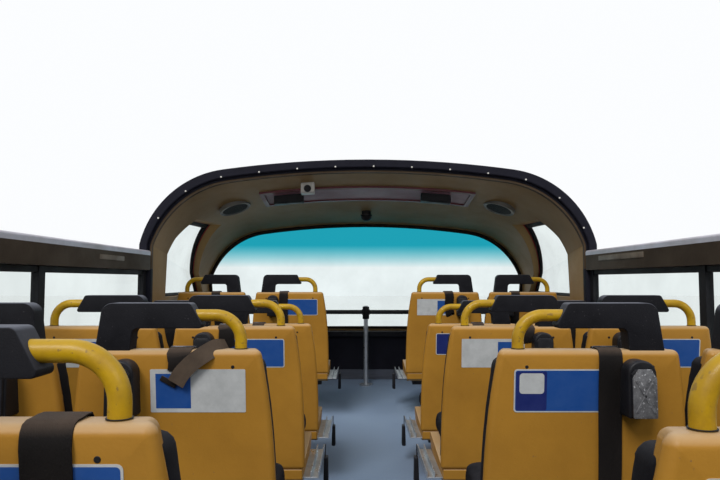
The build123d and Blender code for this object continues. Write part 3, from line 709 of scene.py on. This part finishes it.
def shell_ring(inset):
    """Outline of a shell in x and z, set in, with the same number of points each time."""
    half = HALF_LOW - inset
    low, high = BACK_LOW + inset, BACK_TOP - inset
    crown = max(CROWN_CORNER - inset, 0.004)
    foot = max(FOOT_CORNER - inset, 0.003)
    corners = rounded([(half, low), (half, high), (-half, high), (-half, low)],
                      [foot, crown, crown, foot], CORNER_STEPS)
    out = []
    end = 0
    for extra in (SIDE_POINTS, CROWN_POINTS, SIDE_POINTS, CROWN_POINTS):
        start, end = end, end + CORNER_STEPS + 1
        out += corners[start:end]
        first, last = corners[end - 1], corners[end % len(corners)]
        out += [tuple(a + (b - a) * (k + 1) / (extra + 1) for a, b in zip(first, last))
                for k in range(extra)]
    return [(x * (half_at(z) - inset) / half, z) for x, z in out]


def shell_shape():
    """Moulded shell: rings from the front face over the rounded edges to the rear face.

    Each ring has its inset all round, its depth and a further inset of the sides alone.
    """
    rings = [(0.006, SHELL_THICK, 0.01), (0.002, SHELL_THICK - 0.002, 0.01),
             (0, SHELL_THICK - 0.008, 0.009), (0, 0.026, 0.008), (0, 0.021, 0.002), (0, 0.017, 0)]
    for k in range(REAR_STEPS + 1):
        a = math.pi / 2 * k / REAR_STEPS
        rings.append((REAR_ROUND * (1 - math.cos(a)), REAR_ROUND * (1 - math.sin(a)), 0))
    rings += [(0.05, -0.0006, 0), (0.09, -0.001, 0)]
    return stacked([
        [(x * (1 - narrow / HALF_LOW), back_y(z) + depth, z) for x, z in shell_ring(inset)]
        for inset, depth, narrow in rings])


shells = for_seats("seat_shells", shell_shape(), "seat_shell")
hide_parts("seat_back_shells")

# Small dark fixing holes near the shell's upper corners
hole_y = back_y(HOLE_Z)
plugs = for_seats("shell_plugs", joined(
    prism(circle(HOLE, 12, x, HOLE_Z), hole_y - 0.0012, hole_y + 0.002, edge=0.0006, steps=1)
    for x in (-HOLE_X, HOLE_X)), "black_plastic")

# Grab handles, each with a thin dark ring where it enters the crown, painted shade at its foot
bar_path = [(HANDLE_X, BACK_TOP - 0.02), (HANDLE_X, BACK_TOP)]
bar_path += arc_path((HANDLE_X - BEND, BAR_Z - BEND), BEND, 0, 90, 12)
bar_path += [(PAD_END + 0.02, BAR_Z), (PAD_END - 0.02, BAR_Z)]
handles = for_seats("grab_handles_bent", swept(
    [(x, HANDLE_Y, z) for x, z in bar_path], circle(TUBE, 24), (0, 1, 0)), "yellow_tube")
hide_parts("grab_handles")
# Dark ring round the handle's foot: painted shade, not a real collar
foot_shade_disc = prism(circle(FOOT_SHADE_RADIUS, 24, HANDLE_X, BACK_TOP), 0, 0.0012, edge=0.0004, steps=1)
stand = Matrix.Translation((0, HANDLE_Y, BACK_TOP + 0.001)) @ Matrix.Rotation(
    math.radians(90), 4, "X") @ Matrix.Translation((0, 0, -BACK_TOP))
foot_shade_rings = for_seats("handle_foot_shade_rings", turned(foot_shade_disc, stand), "black_rubber")

# Pads that carry the handles' ends
pad_top = BAR_Z + PAD_HIGH / 2
pad_low = BAR_Z - PAD_HIGH / 2
leg_low = BACK_TOP - LEG_SINK
pad_outline = rounded(
    [(PAD_END + PAD_END_LOW, pad_low), (PAD_END - PAD_END_TOP, pad_top), (PAD_FAR, pad_top),
     (PAD_FAR - LEG_SLANT, leg_low), (PAD_FAR + LEG_WIDE - LEG_NARROWING, leg_low),
     (PAD_FAR + LEG_WIDE, pad_low)],
    [0.007, 0.01, 0.026, 0.002, 0.002, 0.014], CORNER_STEPS)
pads = for_seats("handle_pads", prism(
    pad_outline, HANDLE_Y - PAD_DEEP / 2, HANDLE_Y + PAD_DEEP / 2, edge=0.008, steps=4),
    "pad_rubber")
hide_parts("headrest_pads")


def cover_outline(half, low, shoulder, top_half, top, corner, steps):
    """Outline on the retractor's middle, narrower over its shoulder, at heights of its own."""
    return rounded(
        [(REEL_X - half, low), (REEL_X + half, low), (REEL_X + half, shoulder),
         (REEL_X + top_half, top), (REEL_X - top_half, top), (REEL_X - half, shoulder)],
        [corner] * 6, steps)[::-1]


# Belt retractors: a housing with a domed top and a lid
housing = prism(rounded(
    [(REEL_X - REEL_HALF, REEL_LOW), (REEL_X + REEL_HALF, REEL_LOW),
     (REEL_X + REEL_HALF, REEL_TOP), (REEL_X - REEL_HALF, REEL_TOP)],
    [0.006, 0.006, 0.029, 0.029], steps=8)[::-1], -0.042, 0.03, edge=0.005, steps=3)
lid_outline = cover_outline(0.027, REEL_LOW + 0.004, REEL_TOP - 0.028, 0.018, REEL_TOP - 0.018,
                            corner=0.004, steps=4)
lid = prism(lid_outline, -0.049, -0.041, edge=0.003, steps=2)
reels = for_seats("belt_reels", joined((housing, lid)), "black_plastic")
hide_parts("belt_retractors")


def strap_shape(top_x, low_x, low_z, half, bulge, sway):
    """Webbing from in front of the shell over the crown and down its rear face."""
    line = [(0.068, BACK_TOP - 0.03), (0.062, BACK_TOP - 0.008), (0.052, STRAP_TOP + 0.0006),
            (0.04, STRAP_TOP + 0.001), (0.026, STRAP_TOP), (0.014, STRAP_TOP - 0.0002),
            (0.006, STRAP_TOP - 0.003), (0.001, STRAP_TOP - 0.009), (-0.0016, STRAP_TOP - 0.017)]
    over_crown = 6
    z = BACK_TOP - STRAP_FROM
    while z > low_z:
        out = bulge * math.sin(math.pi * (z - low_z) / (BACK_TOP - low_z))
        line.append((back_y(z) - STRAP_OFF - out, z))
        z -= STRAP_STEP
    line.append((back_y(low_z) - 0.003, low_z))
    path = []
    for i, (y, z) in enumerate(line):
        t = max(i - over_crown, 0) / (len(line) - 1 - over_crown)
        path.append((top_x + (low_x - top_x) * t + sway * math.sin(2.4 * math.pi * t), y, z))
    inner = half - 0.0015
    section = [(-half, -0.0009), (-inner, -0.0013), (inner, -0.0013), (half, -0.0009),
               (half, 0.0009), (inner, 0.0013), (-inner, 0.0013), (-half, 0.0009)]
    return swept(path, section, (1, 0, 0))


def guide_shape(x, half):
    """Wire guide that holds a strap on the crown."""
    reach = half + GUIDE_GAP
    wire = [(x - reach, -0.002), (x - reach, 0.003), (x - reach + 0.002, 0.0052),
            (x + reach - 0.002, 0.0052), (x + reach, 0.003), (x + reach, -0.002)]
    return swept([(x, GUIDE_Y, BACK_TOP + z) for x, z in wire], circle(GUIDE_WIRE, 8), (0, 1, 0))


def band_shape(points, sides, half):
    """Loose webbing along given points, smoothed."""
    path = []
    ways = []
    for i in range(len(points) - 1):
        p0, p1 = Vector(points[max(i - 1, 0)]), Vector(points[i])
        p2, p3 = Vector(points[i + 1]), Vector(points[min(i + 2, len(points) - 1)])
        for k in range(BAND_STEPS):
            t = k / BAND_STEPS
            path.append(0.5 * (2 * p1 + (p2 - p0) * t + (2 * p0 - 5 * p1 + 4 * p2 - p3) * t ** 2
                               + (3 * p1 - p0 - 3 * p2 + p3) * t ** 3))
            ways.append(Vector(sides[i]).lerp(Vector(sides[i + 1]), t))
    path.append(Vector(points[-1]))
    ways.append(Vector(sides[-1]))
    return swept(path, [(-half, -0.001), (half, -0.001), (half, 0.001), (-half, 0.001)], ways)


# Straps of the seats that are told apart: x on the crown, x and height of the lower end
own_straps = {
    PLATED_REEL: (-0.046, -0.05, 0.31),
    NEAR_LEFT: (0.085, 0.083, 0.34),
    WORN_BELT: (0.021, 0.023, 0.745),
    ("right", "aisle", 1): (-0.02, -0.03, 0.655),
    ("left", "aisle", 3): (-0.03, -0.02, 0.72),
    ("right", "aisle", 3): (-0.05, -0.05, 0.74),
}
rng = random.Random(7)
strap_parts, loop_parts = [], []
for name, matrix in places.items():
    top_x = -0.03 + rng.uniform(-0.02, 0.02)
    low_x = top_x - rng.uniform(0.0, 0.03)
    low_z = rng.choice((0.33, 0.36, rng.uniform(0.58, 0.72)))
    sway, bulge = rng.uniform(-0.003, 0.003), rng.uniform(0.0, 0.004)
    top_x, low_x, low_z = own_straps.get(name, (top_x, low_x, low_z))
    half = NEAR_STRAP_HALF if name == NEAR_LEFT else STRAP_HALF
    strap_parts.append(turned(strap_shape(top_x, low_x, low_z, half, bulge, sway), matrix))
    if name != NEAR_LEFT:
        loop_parts.append(turned(guide_shape(top_x, half), matrix))
    if name == WORN_BELT:
        tongue_z = BACK_TOP - 0.07
        tilt = Matrix.Translation((-0.002, back_y(tongue_z) - 0.004, tongue_z)) @ Matrix.Rotation(
            math.radians(28), 4, "Y")
        tongue = turned(block((-0.02, -0.002, -0.006), (0.018, 0.002, 0.006), edge=0.001), tilt)
        strap_parts.append(turned(tongue, matrix))

# Worn cover plate with a raised cross, proud of the retractor of one seat
plate_outline = cover_outline(0.026, REEL_LOW + 0.003, REEL_TOP - 0.036, 0.014,
                              REEL_TOP - 0.017, corner=0.003, steps=3)
cross_bars = [
    [(REEL_X + side * (u * CROSS_HALF_X + v), CROSS_Z + u * CROSS_HALF_Z - v * CROSS_TILT)
     for u, v in ((-1, -CROSS_BAR), (1, -CROSS_BAR), (1, CROSS_BAR), (-1, CROSS_BAR))]
    for side in (1, -1)]
part("reel_cover_plate", turned(joined([
    prism(plate_outline, PLATE_Y, PLATE_Y + 0.004, edge=0.0012, steps=2),
    *(prism(bar, PLATE_Y - 0.0016, PLATE_Y + 0.002, edge=0.0006, steps=1) for bar in cross_bars),
]), places[PLATED_REEL]), "reel_plate")

# Loose band that hangs over one seat's crown: each row is a place and the way across there
band_rows = (
    ((0.118, 0.052, BACK_TOP + 0.004), (0.6, -0.1, -0.8)),
    ((0.102, 0.02, BACK_TOP + 0.006), (0.6, -0.1, -0.8)),
    ((0.078, -0.01, BACK_TOP - 0.008), (0.6, 0.1, -0.75)),
    ((0.052, -0.013, BACK_TOP - 0.027), (0.62, 0.1, -0.7)),
    ((0.03, -0.011, BACK_TOP - 0.05), (0.75, 0.1, -0.55)),
    ((0.016, -0.007, BACK_TOP - 0.072), (0.95, 0, -0.25)),
)
part("belt_webbing_worn", turned(band_shape(*zip(*band_rows), WORN_BAND_HALF), places[WORN_BELT]),
     "webbing_worn")
straps = part("belt_webbing", joined(strap_parts), "webbing")
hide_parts("belt_straps")
loops = part("belt_guides", joined(loop_parts), "guide_metal")
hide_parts("belt_loops")


# Cushions: swollen by a cloth simulation on one seat's pair, then copied to every seat
def swollen(name, shape, cap):
    """Shape remeshed and blown up as cloth, no point further than the cap from where it was."""
    scene = bpy.context.scene
    obj = mesh_object(name, shape, "seat_fabric")
    remesh = obj.modifiers.new("remesh", "REMESH")
    remesh.mode = "VOXEL"
    remesh.voxel_size = PAD_VOXEL
    graph = bpy.context.evaluated_depsgraph_get()
    mesh = bpy.data.meshes.new_from_object(obj.evaluated_get(graph))
    obj.modifiers.clear()
    obj.data = mesh
    before = [v.co.copy() for v in mesh.vertices]
    cloth = obj.modifiers.new("cloth", "CLOTH")
    cloth.settings.quality = 4
    cloth.settings.use_pressure = True
    cloth.settings.uniform_pressure_force = PAD_PRESSURE
    cloth.settings.effector_weights.gravity = 0
    cloth.collision_settings.use_collision = False
    cloth.point_cache.frame_start = 1
    cloth.point_cache.frame_end = CLOTH_FRAMES
    for step in range(1, CLOTH_FRAMES + 1):
        scene.frame_set(step)
    graph = bpy.context.evaluated_depsgraph_get()
    swelled = obj.evaluated_get(graph).to_mesh()
    after = [v.co.copy() for v in swelled.vertices]
    obj.evaluated_get(graph).to_mesh_clear()
    obj.modifiers.clear()
    scene.frame_set(1)
    for v, old, new_place in zip(mesh.vertices, before, after):
        move = new_place - old
        v.co = old + move * min(1.0, cap / max(move.length, 1e-9))
    thin = obj.modifiers.new("thin", "DECIMATE")
    thin.ratio = PAD_TRIANGLES / len(mesh.polygons) / 2
    graph = bpy.context.evaluated_depsgraph_get()
    small = bpy.data.meshes.new_from_object(obj.evaluated_get(graph))
    result = [tuple(v.co) for v in small.vertices], [tuple(p.vertices) for p in small.polygons]
    bpy.data.objects.remove(obj)
    return result


def divided(outline, length):
    """Outline with extra points, one for each whole length that an edge holds."""
    out = []
    for (x, z), (next_x, next_z) in zip(outline, outline[1:] + outline[:1]):
        count = int(math.hypot(next_x - x, next_z - z) / length) + 1
        out += [(x + (next_x - x) * (k / count), z + (next_z - z) * (k / count))
                for k in range(count)]
    return out


def back_pad_shape():
    """Cushion on a shell's front face, a little past its edge on the handle's side."""
    low, high = BACK_LOW + 0.012, BACK_TOP - 0.016
    outline = divided(rounded(
        [(HALF_LOW, low), (HALF_LOW, high), (-HALF_LOW, high), (-HALF_LOW, low)], [0.02] * 4, 6),
        PAD_EDGE)
    reaches = [half_at(z) + 0.002 if x > 0 else min(half_at(z), HALF_LOW - 0.006)
               for x, z in outline]
    outline = [(x * reach / HALF_LOW, z) for (x, z), reach in zip(outline, reaches)]
    return prism(outline, -0.026, 0.034, edge=0.01, steps=3, lift=front_y)


base_pad = block(Vector((-0.21, RECLINE + 0.1, BACK_LOW + 0.006)),
                 Vector((0.21, RECLINE + 0.43, BACK_LOW + 0.084)),
                 edge=0.022, steps=4, slope=0.1)
back_pads = for_seats("back_cushions", swollen("back_pad", back_pad_shape(), BACK_PAD_SWELL),
                      "seat_fabric", angle=180)
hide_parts("seat_back_cushions")
base_pads = for_seats("base_cushions", swollen("base_pad", base_pad, BASE_PAD_SWELL),
                      "seat_fabric", angle=180)
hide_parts("seat_base_cushions")

# Buckles that hang on short webbing from the side channels
hanger = block((HANG_X + 0.004, HANG_Y - 0.012, HANG_Z - 0.04),
               (HANG_X + 0.0065, HANG_Y + 0.012, HANG_Z + 0.01), edge=0)
body = prism(rounded([(HANG_X - 0.002, HANG_Z - 0.135), (HANG_X + 0.018, HANG_Z - 0.135),
                      (HANG_X + 0.016, HANG_Z - 0.035), (HANG_X + 0.001, HANG_Z - 0.035)],
                     [0.006, 0.006, 0.004, 0.004], steps=4),
             HANG_Y - 0.023, HANG_Y + 0.023, edge=0.005, steps=3)
webs = for_seats("buckle_webbing", hanger, "webbing", aisle_places)
buckles = for_seats("belt_buckle_bodies", body, "black_plastic", aisle_places)
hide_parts("belt_buckles")

# Blank stickers on the backs: a border, a coloured field and a plain block. Each layer of a kind
# has its colour, x from and to, z from and to, and the radius of its corners
STICKER_Y, STICKER_THICK, LAYER_STEP = -0.0016, 0.0012, 0.0002
LEFT, RIGHT, LOW, HIGH = -0.044, 0.168, 0.655, 0.752
border = ("white", LEFT, RIGHT, LOW, HIGH, 0.007)
field = (LEFT + 0.003, RIGHT - 0.003, LOW + 0.003, HIGH - 0.003, 0.005)
sticker_layers = {
    "white_square": [
        ("white", LEFT, RIGHT, LOW, HIGH, 0.003),
        ("blue", LEFT + 0.012, LEFT + 0.09, LOW + 0.009, HIGH - 0.01, 0.001)],
    "navy": [border, ("navy", *field)],
    "blue": [border, ("blue", *field)],
    "blue_navy": [
        border, ("blue", *field),
        ("navy", RIGHT - 0.073, RIGHT - 0.0045, LOW + 0.0045, HIGH - 0.0045, 0.004),
        ("white", RIGHT - 0.067, RIGHT - 0.012, LOW + 0.042, HIGH - 0.009, 0.007)],
}
sticker_kinds = {
    ("right", "aisle", 4): "blue_navy", ("left", "aisle", 4): "white_square",
    ("left", "window", 4): "blue_navy", ("left", "aisle", 5): "blue",
    ("left", "aisle", 3): "blue", ("right", "aisle", 3): "white_square",
    ("right", "aisle", 2): "navy", ("left", "aisle", 1): "blue",
    ("right", "aisle", 1): "white_square", ("right", "window", 4): "white_square",
    ("left", "window", 3): "white_square", ("right", "window", 3): "blue",
    ("left", "window", 5): "blue_navy", ("right", "window", 5): "white_square",
    ("right", "aisle", 5): "blue_navy",
}
sticker_parts = {}
for name, matrix in places.items():
    layers = sticker_layers.get(sticker_kinds.get(name), [])
    for layer, (colour, x0, x1, z0, z1, corner) in enumerate(layers):
        outline = rounded([(x0, z0), (x1, z0), (x1, z1), (x0, z1)], [corner] * 4, steps=4)[::-1]
        near = STICKER_Y - LAYER_STEP * layer
        sticker = prism(outline, near, near + STICKER_THICK, edge=0, steps=0, lift=back_y)
        sticker_parts.setdefault(colour, []).append(turned(sticker, matrix))
for colour, shapes in sticker_parts.items():
    part("stickers_" + colour, joined(shapes), "sticker_" + colour)


def arch_line(inset, foot=None):
    """Points in x and z over the hood's arch, set in from the outer skin, from right to left."""
    side, crown = ARCH_SIDE - inset, ARCH_CROWN - inset
    shoulder = Vector((SHOULDER_X - inset / 2, SHOULDER_Z - inset))
    low = (crown ** 2 - shoulder.length_squared) / (2 * (crown - shoulder.y))
    inward = Vector((-shoulder.x, low - shoulder.y)).normalized()
    gap = shoulder - Vector((side, ARCH_KNEE))
    radius = -gap.length_squared / (2 * inward.dot(gap))
    centre = shoulder + inward * radius
    start = math.degrees(math.atan2(ARCH_KNEE - centre.y, side - centre.x))
    turn = math.degrees(math.atan2(shoulder.y - centre.y, shoulder.x - centre.x))
    first = math.degrees(math.atan2(shoulder.y - low, shoulder.x))
    right = arc_path(centre, radius, start, turn, ARCH_STEPS)
    right += arc_path((0, low), crown - low, first, 90, ARCH_STEPS)[1:]
    if foot is not None:
        right.insert(0, (side, foot))
    return right + [(-x, z) for x, z in reversed(right[:-1])]


def ceiling_z(x, y):
    """Height of the lining over a place."""
    fall = HOOD_FALL * (y - RIM_Y)
    line = [p for p in arch_line(HOOD_WALL) if p[0] > -TOLERANCE]
    for (x0, z0), (x1, z1) in zip(line, line[1:]):
        if x1 - TOLERANCE <= abs(x) <= x0:
            return z1 + (z0 - z1) * (abs(x) - x1) / max(x0 - x1, 1e-9) - fall
    raise ValueError("no lining over x = %g" % x)


def arch_band(outer, inner, rear, front):
    """Closed band between two insets of the arch, from y rear to y front."""
    fall = HOOD_FALL * (front - rear)
    far, near = arch_line(outer, ARCH_FOOT), arch_line(inner, ARCH_FOOT)
    count = len(far)
    verts = [(x, rear, z) for x, z in far] + [(x, rear, z) for x, z in near]
    verts += [(x, front, z - fall) for x, z in near] + [(x, front, z - fall) for x, z in far]
    faces = []
    for ring in range(4):
        a, b = ring * count, (ring + 1) % 4 * count
        faces += [(a + k, a + k + 1, b + k + 1, b + k) for k in range(count - 1)]
    faces.append((0, count, 2 * count, 3 * count))
    faces.append(tuple(count - 1 + ring * count for ring in (3, 2, 1, 0)))
    return solid(verts, faces)


# Lip and trim inside the hood's rim, strips on its pillars and screws along its rear face
part("hood_edge_lip", arch_band(0.042, 0.054, RIM_Y - 0.006, RIM_Y + 0.01), "rim_rubber")
# The trim's dark brown is painted shade on the lining
part("hood_edge_trim", arch_band(0.052, 0.0645, RIM_Y - 0.003, RIM_Y + 0.02), "lining_trim_painted_shade")
part("pillar_strips", joined(
    block((min(a, b), RIM_Y - RIM_DEEP, 0.69), (max(a, b), RIM_Y + 0.014, 1.1), edge=0.003)
    for a, b in ((1.182, 1.246), (-1.182, -1.246))), "rim_rubber")
screw_places, walked = [], SCREW_FIRST
line = arch_line(SCREW_LINE)
for (x0, z0), (x1, z1) in zip(line, line[1:]):
    length = math.hypot(x1 - x0, z1 - z0)
    while walked < length:
        screw_places.append(
            (x0 + (x1 - x0) * walked / length, z0 + (z1 - z0) * walked / length))
        walked += SCREW_STEP
    walked -= length
face_y = RIM_Y - RIM_DEEP
part("rim_screws", joined(
    prism(circle(SCREW, 10, x, z), face_y - 0.0022, face_y + 0.002, edge=0.001, steps=1)
    for x, z in screw_places), "white_plastic")

# Panel in the ceiling's recess, between the frame's inner edges
panel_verts, panel_faces = [], []
for k in range(RECESS_STEPS + 1):
    x = -RECESS_HALF_X + 2 * RECESS_HALF_X * k / RECESS_STEPS
    for y in (RECESS_Y - RECESS_HALF_Y, RECESS_Y + RECESS_HALF_Y):
        z = ceiling_z(x, y)
        panel_verts += [(x, y, z - 0.001), (x, y, z - 0.004)]
    if k:
        a, b = 4 * (k - 1), 4 * k
        panel_faces += [(a + 1, b + 1, b + 3, a + 3), (a, a + 2, b + 2, b), (a, b, b + 1, a + 1),
                        (a + 2, a + 3, b + 3, b + 2)]
end = 4 * RECESS_STEPS
panel_faces += [(0, 1, 3, 2), (end, end + 2, end + 3, end + 1)]
part("recess_panel", (panel_verts, panel_faces), "recess_panel")

# Round loudspeakers that lie along the arch: a grille within a rim
grille = lathe([(0.09, 0.02), (0.09, -0.008), (0.07, -0.012), (0.03, -0.014)])
rim = lathe([(0.089, 0.04), (0.0985, 0.04), (0.0985, -0.01), (0.096, -0.0135),
             (0.091, -0.0135), (0.089, -0.01)])
fall = Matrix.Rotation(-math.atan(HOOD_FALL), 4, "X")
speaker_z = ceiling_z(SPEAKER_X, SPEAKER_Y) - 0.012
speaker_places = [
    Matrix.Translation((side * SPEAKER_X, SPEAKER_Y, speaker_z))
    @ Matrix.Rotation(side * math.radians(SPEAKER_LEAN), 4, "Y") @ fall for side in (1, -1)]
grilles = part("speaker_grilles", joined(turned(grille, place) for place in speaker_places),
               "speaker_cloth")
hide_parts("ceiling_speakers")
part("speaker_rims", joined(turned(rim, place) for place in speaker_places), "speaker_rim")

# Domed sensor under the ceiling: radius and height as shares of the node's own
box = islands("ceiling_sensor")[0]
middle, low, high = centre_of(box), *box
half, deep = (high[0] - low[0]) / 2, high[2] - low[2]
dome = lathe([(half * wide, deep * up) for wide, up in (
    (0.8, 1.0), (0.8, 0.62), (1.0, 0.58), (1.0, 0.46), (0.93, 0.42), (0.88, 0.26), (0.72, 0.12),
    (0.46, 0.03), (0.2, 0.0))])
sensor = part("ceiling_dome", turned(dome, Matrix.Translation((middle[0], middle[1], low[2]))),
              "black_plastic")
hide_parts("ceiling_sensor")

# Clamp between the stanchion and the front handrail
post_x = centre_of(islands("stanchion")[0])[0]
part("handrail_clamp", joined((
    turned(lathe([(0.023, -0.05), (0.025, -0.046), (0.025, 0.038), (0.023, 0.042)]),
           Matrix.Translation((post_x, CLAMP_Y, CLAMP_Z))),
    block((post_x - 0.03, CLAMP_Y - 0.012, 0.778), (post_x + 0.03, CLAMP_Y + 0.052, 0.82),
          edge=0.006, steps=3))), "black_plastic")

# Small plates on the inner faces of the top rails
part("rail_plates", joined((
    block((-1.185, 0.70, 1.13), (-1.181, 0.99, 1.152), edge=0.001),
    block((1.181, 0.67, 1.137), (1.185, 1.19, 1.162), edge=0.001))), "rail_plate")

# Lens on the rear face of the ceiling camera
box = islands("ceiling_camera")[0]
middle = centre_of(box)
lens_place = Matrix.Translation((middle[0], box[0][1], middle[2] - 0.004))
part("camera_lens", turned(
    lathe([(0.017, 0.004), (0.021, 0.004), (0.021, -0.003), (0.019, -0.006), (0.013, -0.006),
           (0.006, -0.0045)]),
    lens_place @ Matrix.Rotation(math.radians(-90), 4, "X")), "black_plastic")

# Camera in the aisle, a little over the seats' backs
camera = scene_object("camera", bpy.data.cameras.new("camera"))
camera.location = (-0.044, -2.1, 1.038)
camera.rotation_euler = (math.radians(93.58), 0, 0)
camera.data.lens = 32
camera.data.sensor_width = 36
camera.data.clip_start = 0.05
bpy.context.scene.camera = camera

# Two even soft lights: the place each comes from, its power, its spread in degrees, its colour
for name, place, power, spread, colour in (
    ("key", (-3.5, -7.5, 7.7), 2.3, 24, (1, 0.98, 0.95)),
    ("fill", (5.0, -5.0, 5.0), 0.9, 40, (0.94, 0.97, 1)),
):
    light = bpy.data.lights.new(name, "SUN")
    light.energy = power
    light.angle = math.radians(spread)
    light.color = colour
    sun = scene_object(name, light)
    sun.location = place
    sun.rotation_euler = Vector(place).to_track_quat("Z", "Y").to_euler()

# Soft light from all round, and a white background for what is seen, mirrored or let through
world = bpy.data.worlds.new("studio")
world.use_nodes = True
tree = world.node_tree
new, link = tree.nodes.new, tree.links.new
ambient, seen = tree.nodes["Background"], new("ShaderNodeBackground")
for shader, colour, strength in (
    (ambient, (0.93, 0.96, 1, 1), 0.5), (seen, (0.97, 0.985, 1, 1), 1.0),
):
    shader.inputs["Color"].default_value = colour
    shader.inputs["Strength"].default_value = strength
ray = new("ShaderNodeLightPath").outputs
either = calculated(new, link, "MAXIMUM", ray["Is Camera Ray"], ray["Is Glossy Ray"])
any_of_three = calculated(new, link, "MAXIMUM", either, ray["Is Transmission Ray"])
choice = new("ShaderNodeMixShader")
for source, socket in zip((any_of_three, ambient.outputs[0], seen.outputs[0]), choice.inputs):
    link(source, socket)
link(choice.outputs[0], tree.nodes["World Output"].inputs["Surface"])
bpy.context.scene.world = world
bpy.context.scene.view_settings.view_transform = "Standard"

# Pale floor that the deck stands on
FLOOR_HALF, FLOOR_Z = 40, -0.002
corners = [(x * FLOOR_HALF, y * FLOOR_HALF, FLOOR_Z)
           for x, y in ((-1, -1), (1, -1), (1, 1), (-1, 1))]
floor = mesh_object("stage_floor", (corners, [(0, 1, 2, 3)]), "stage_floor")
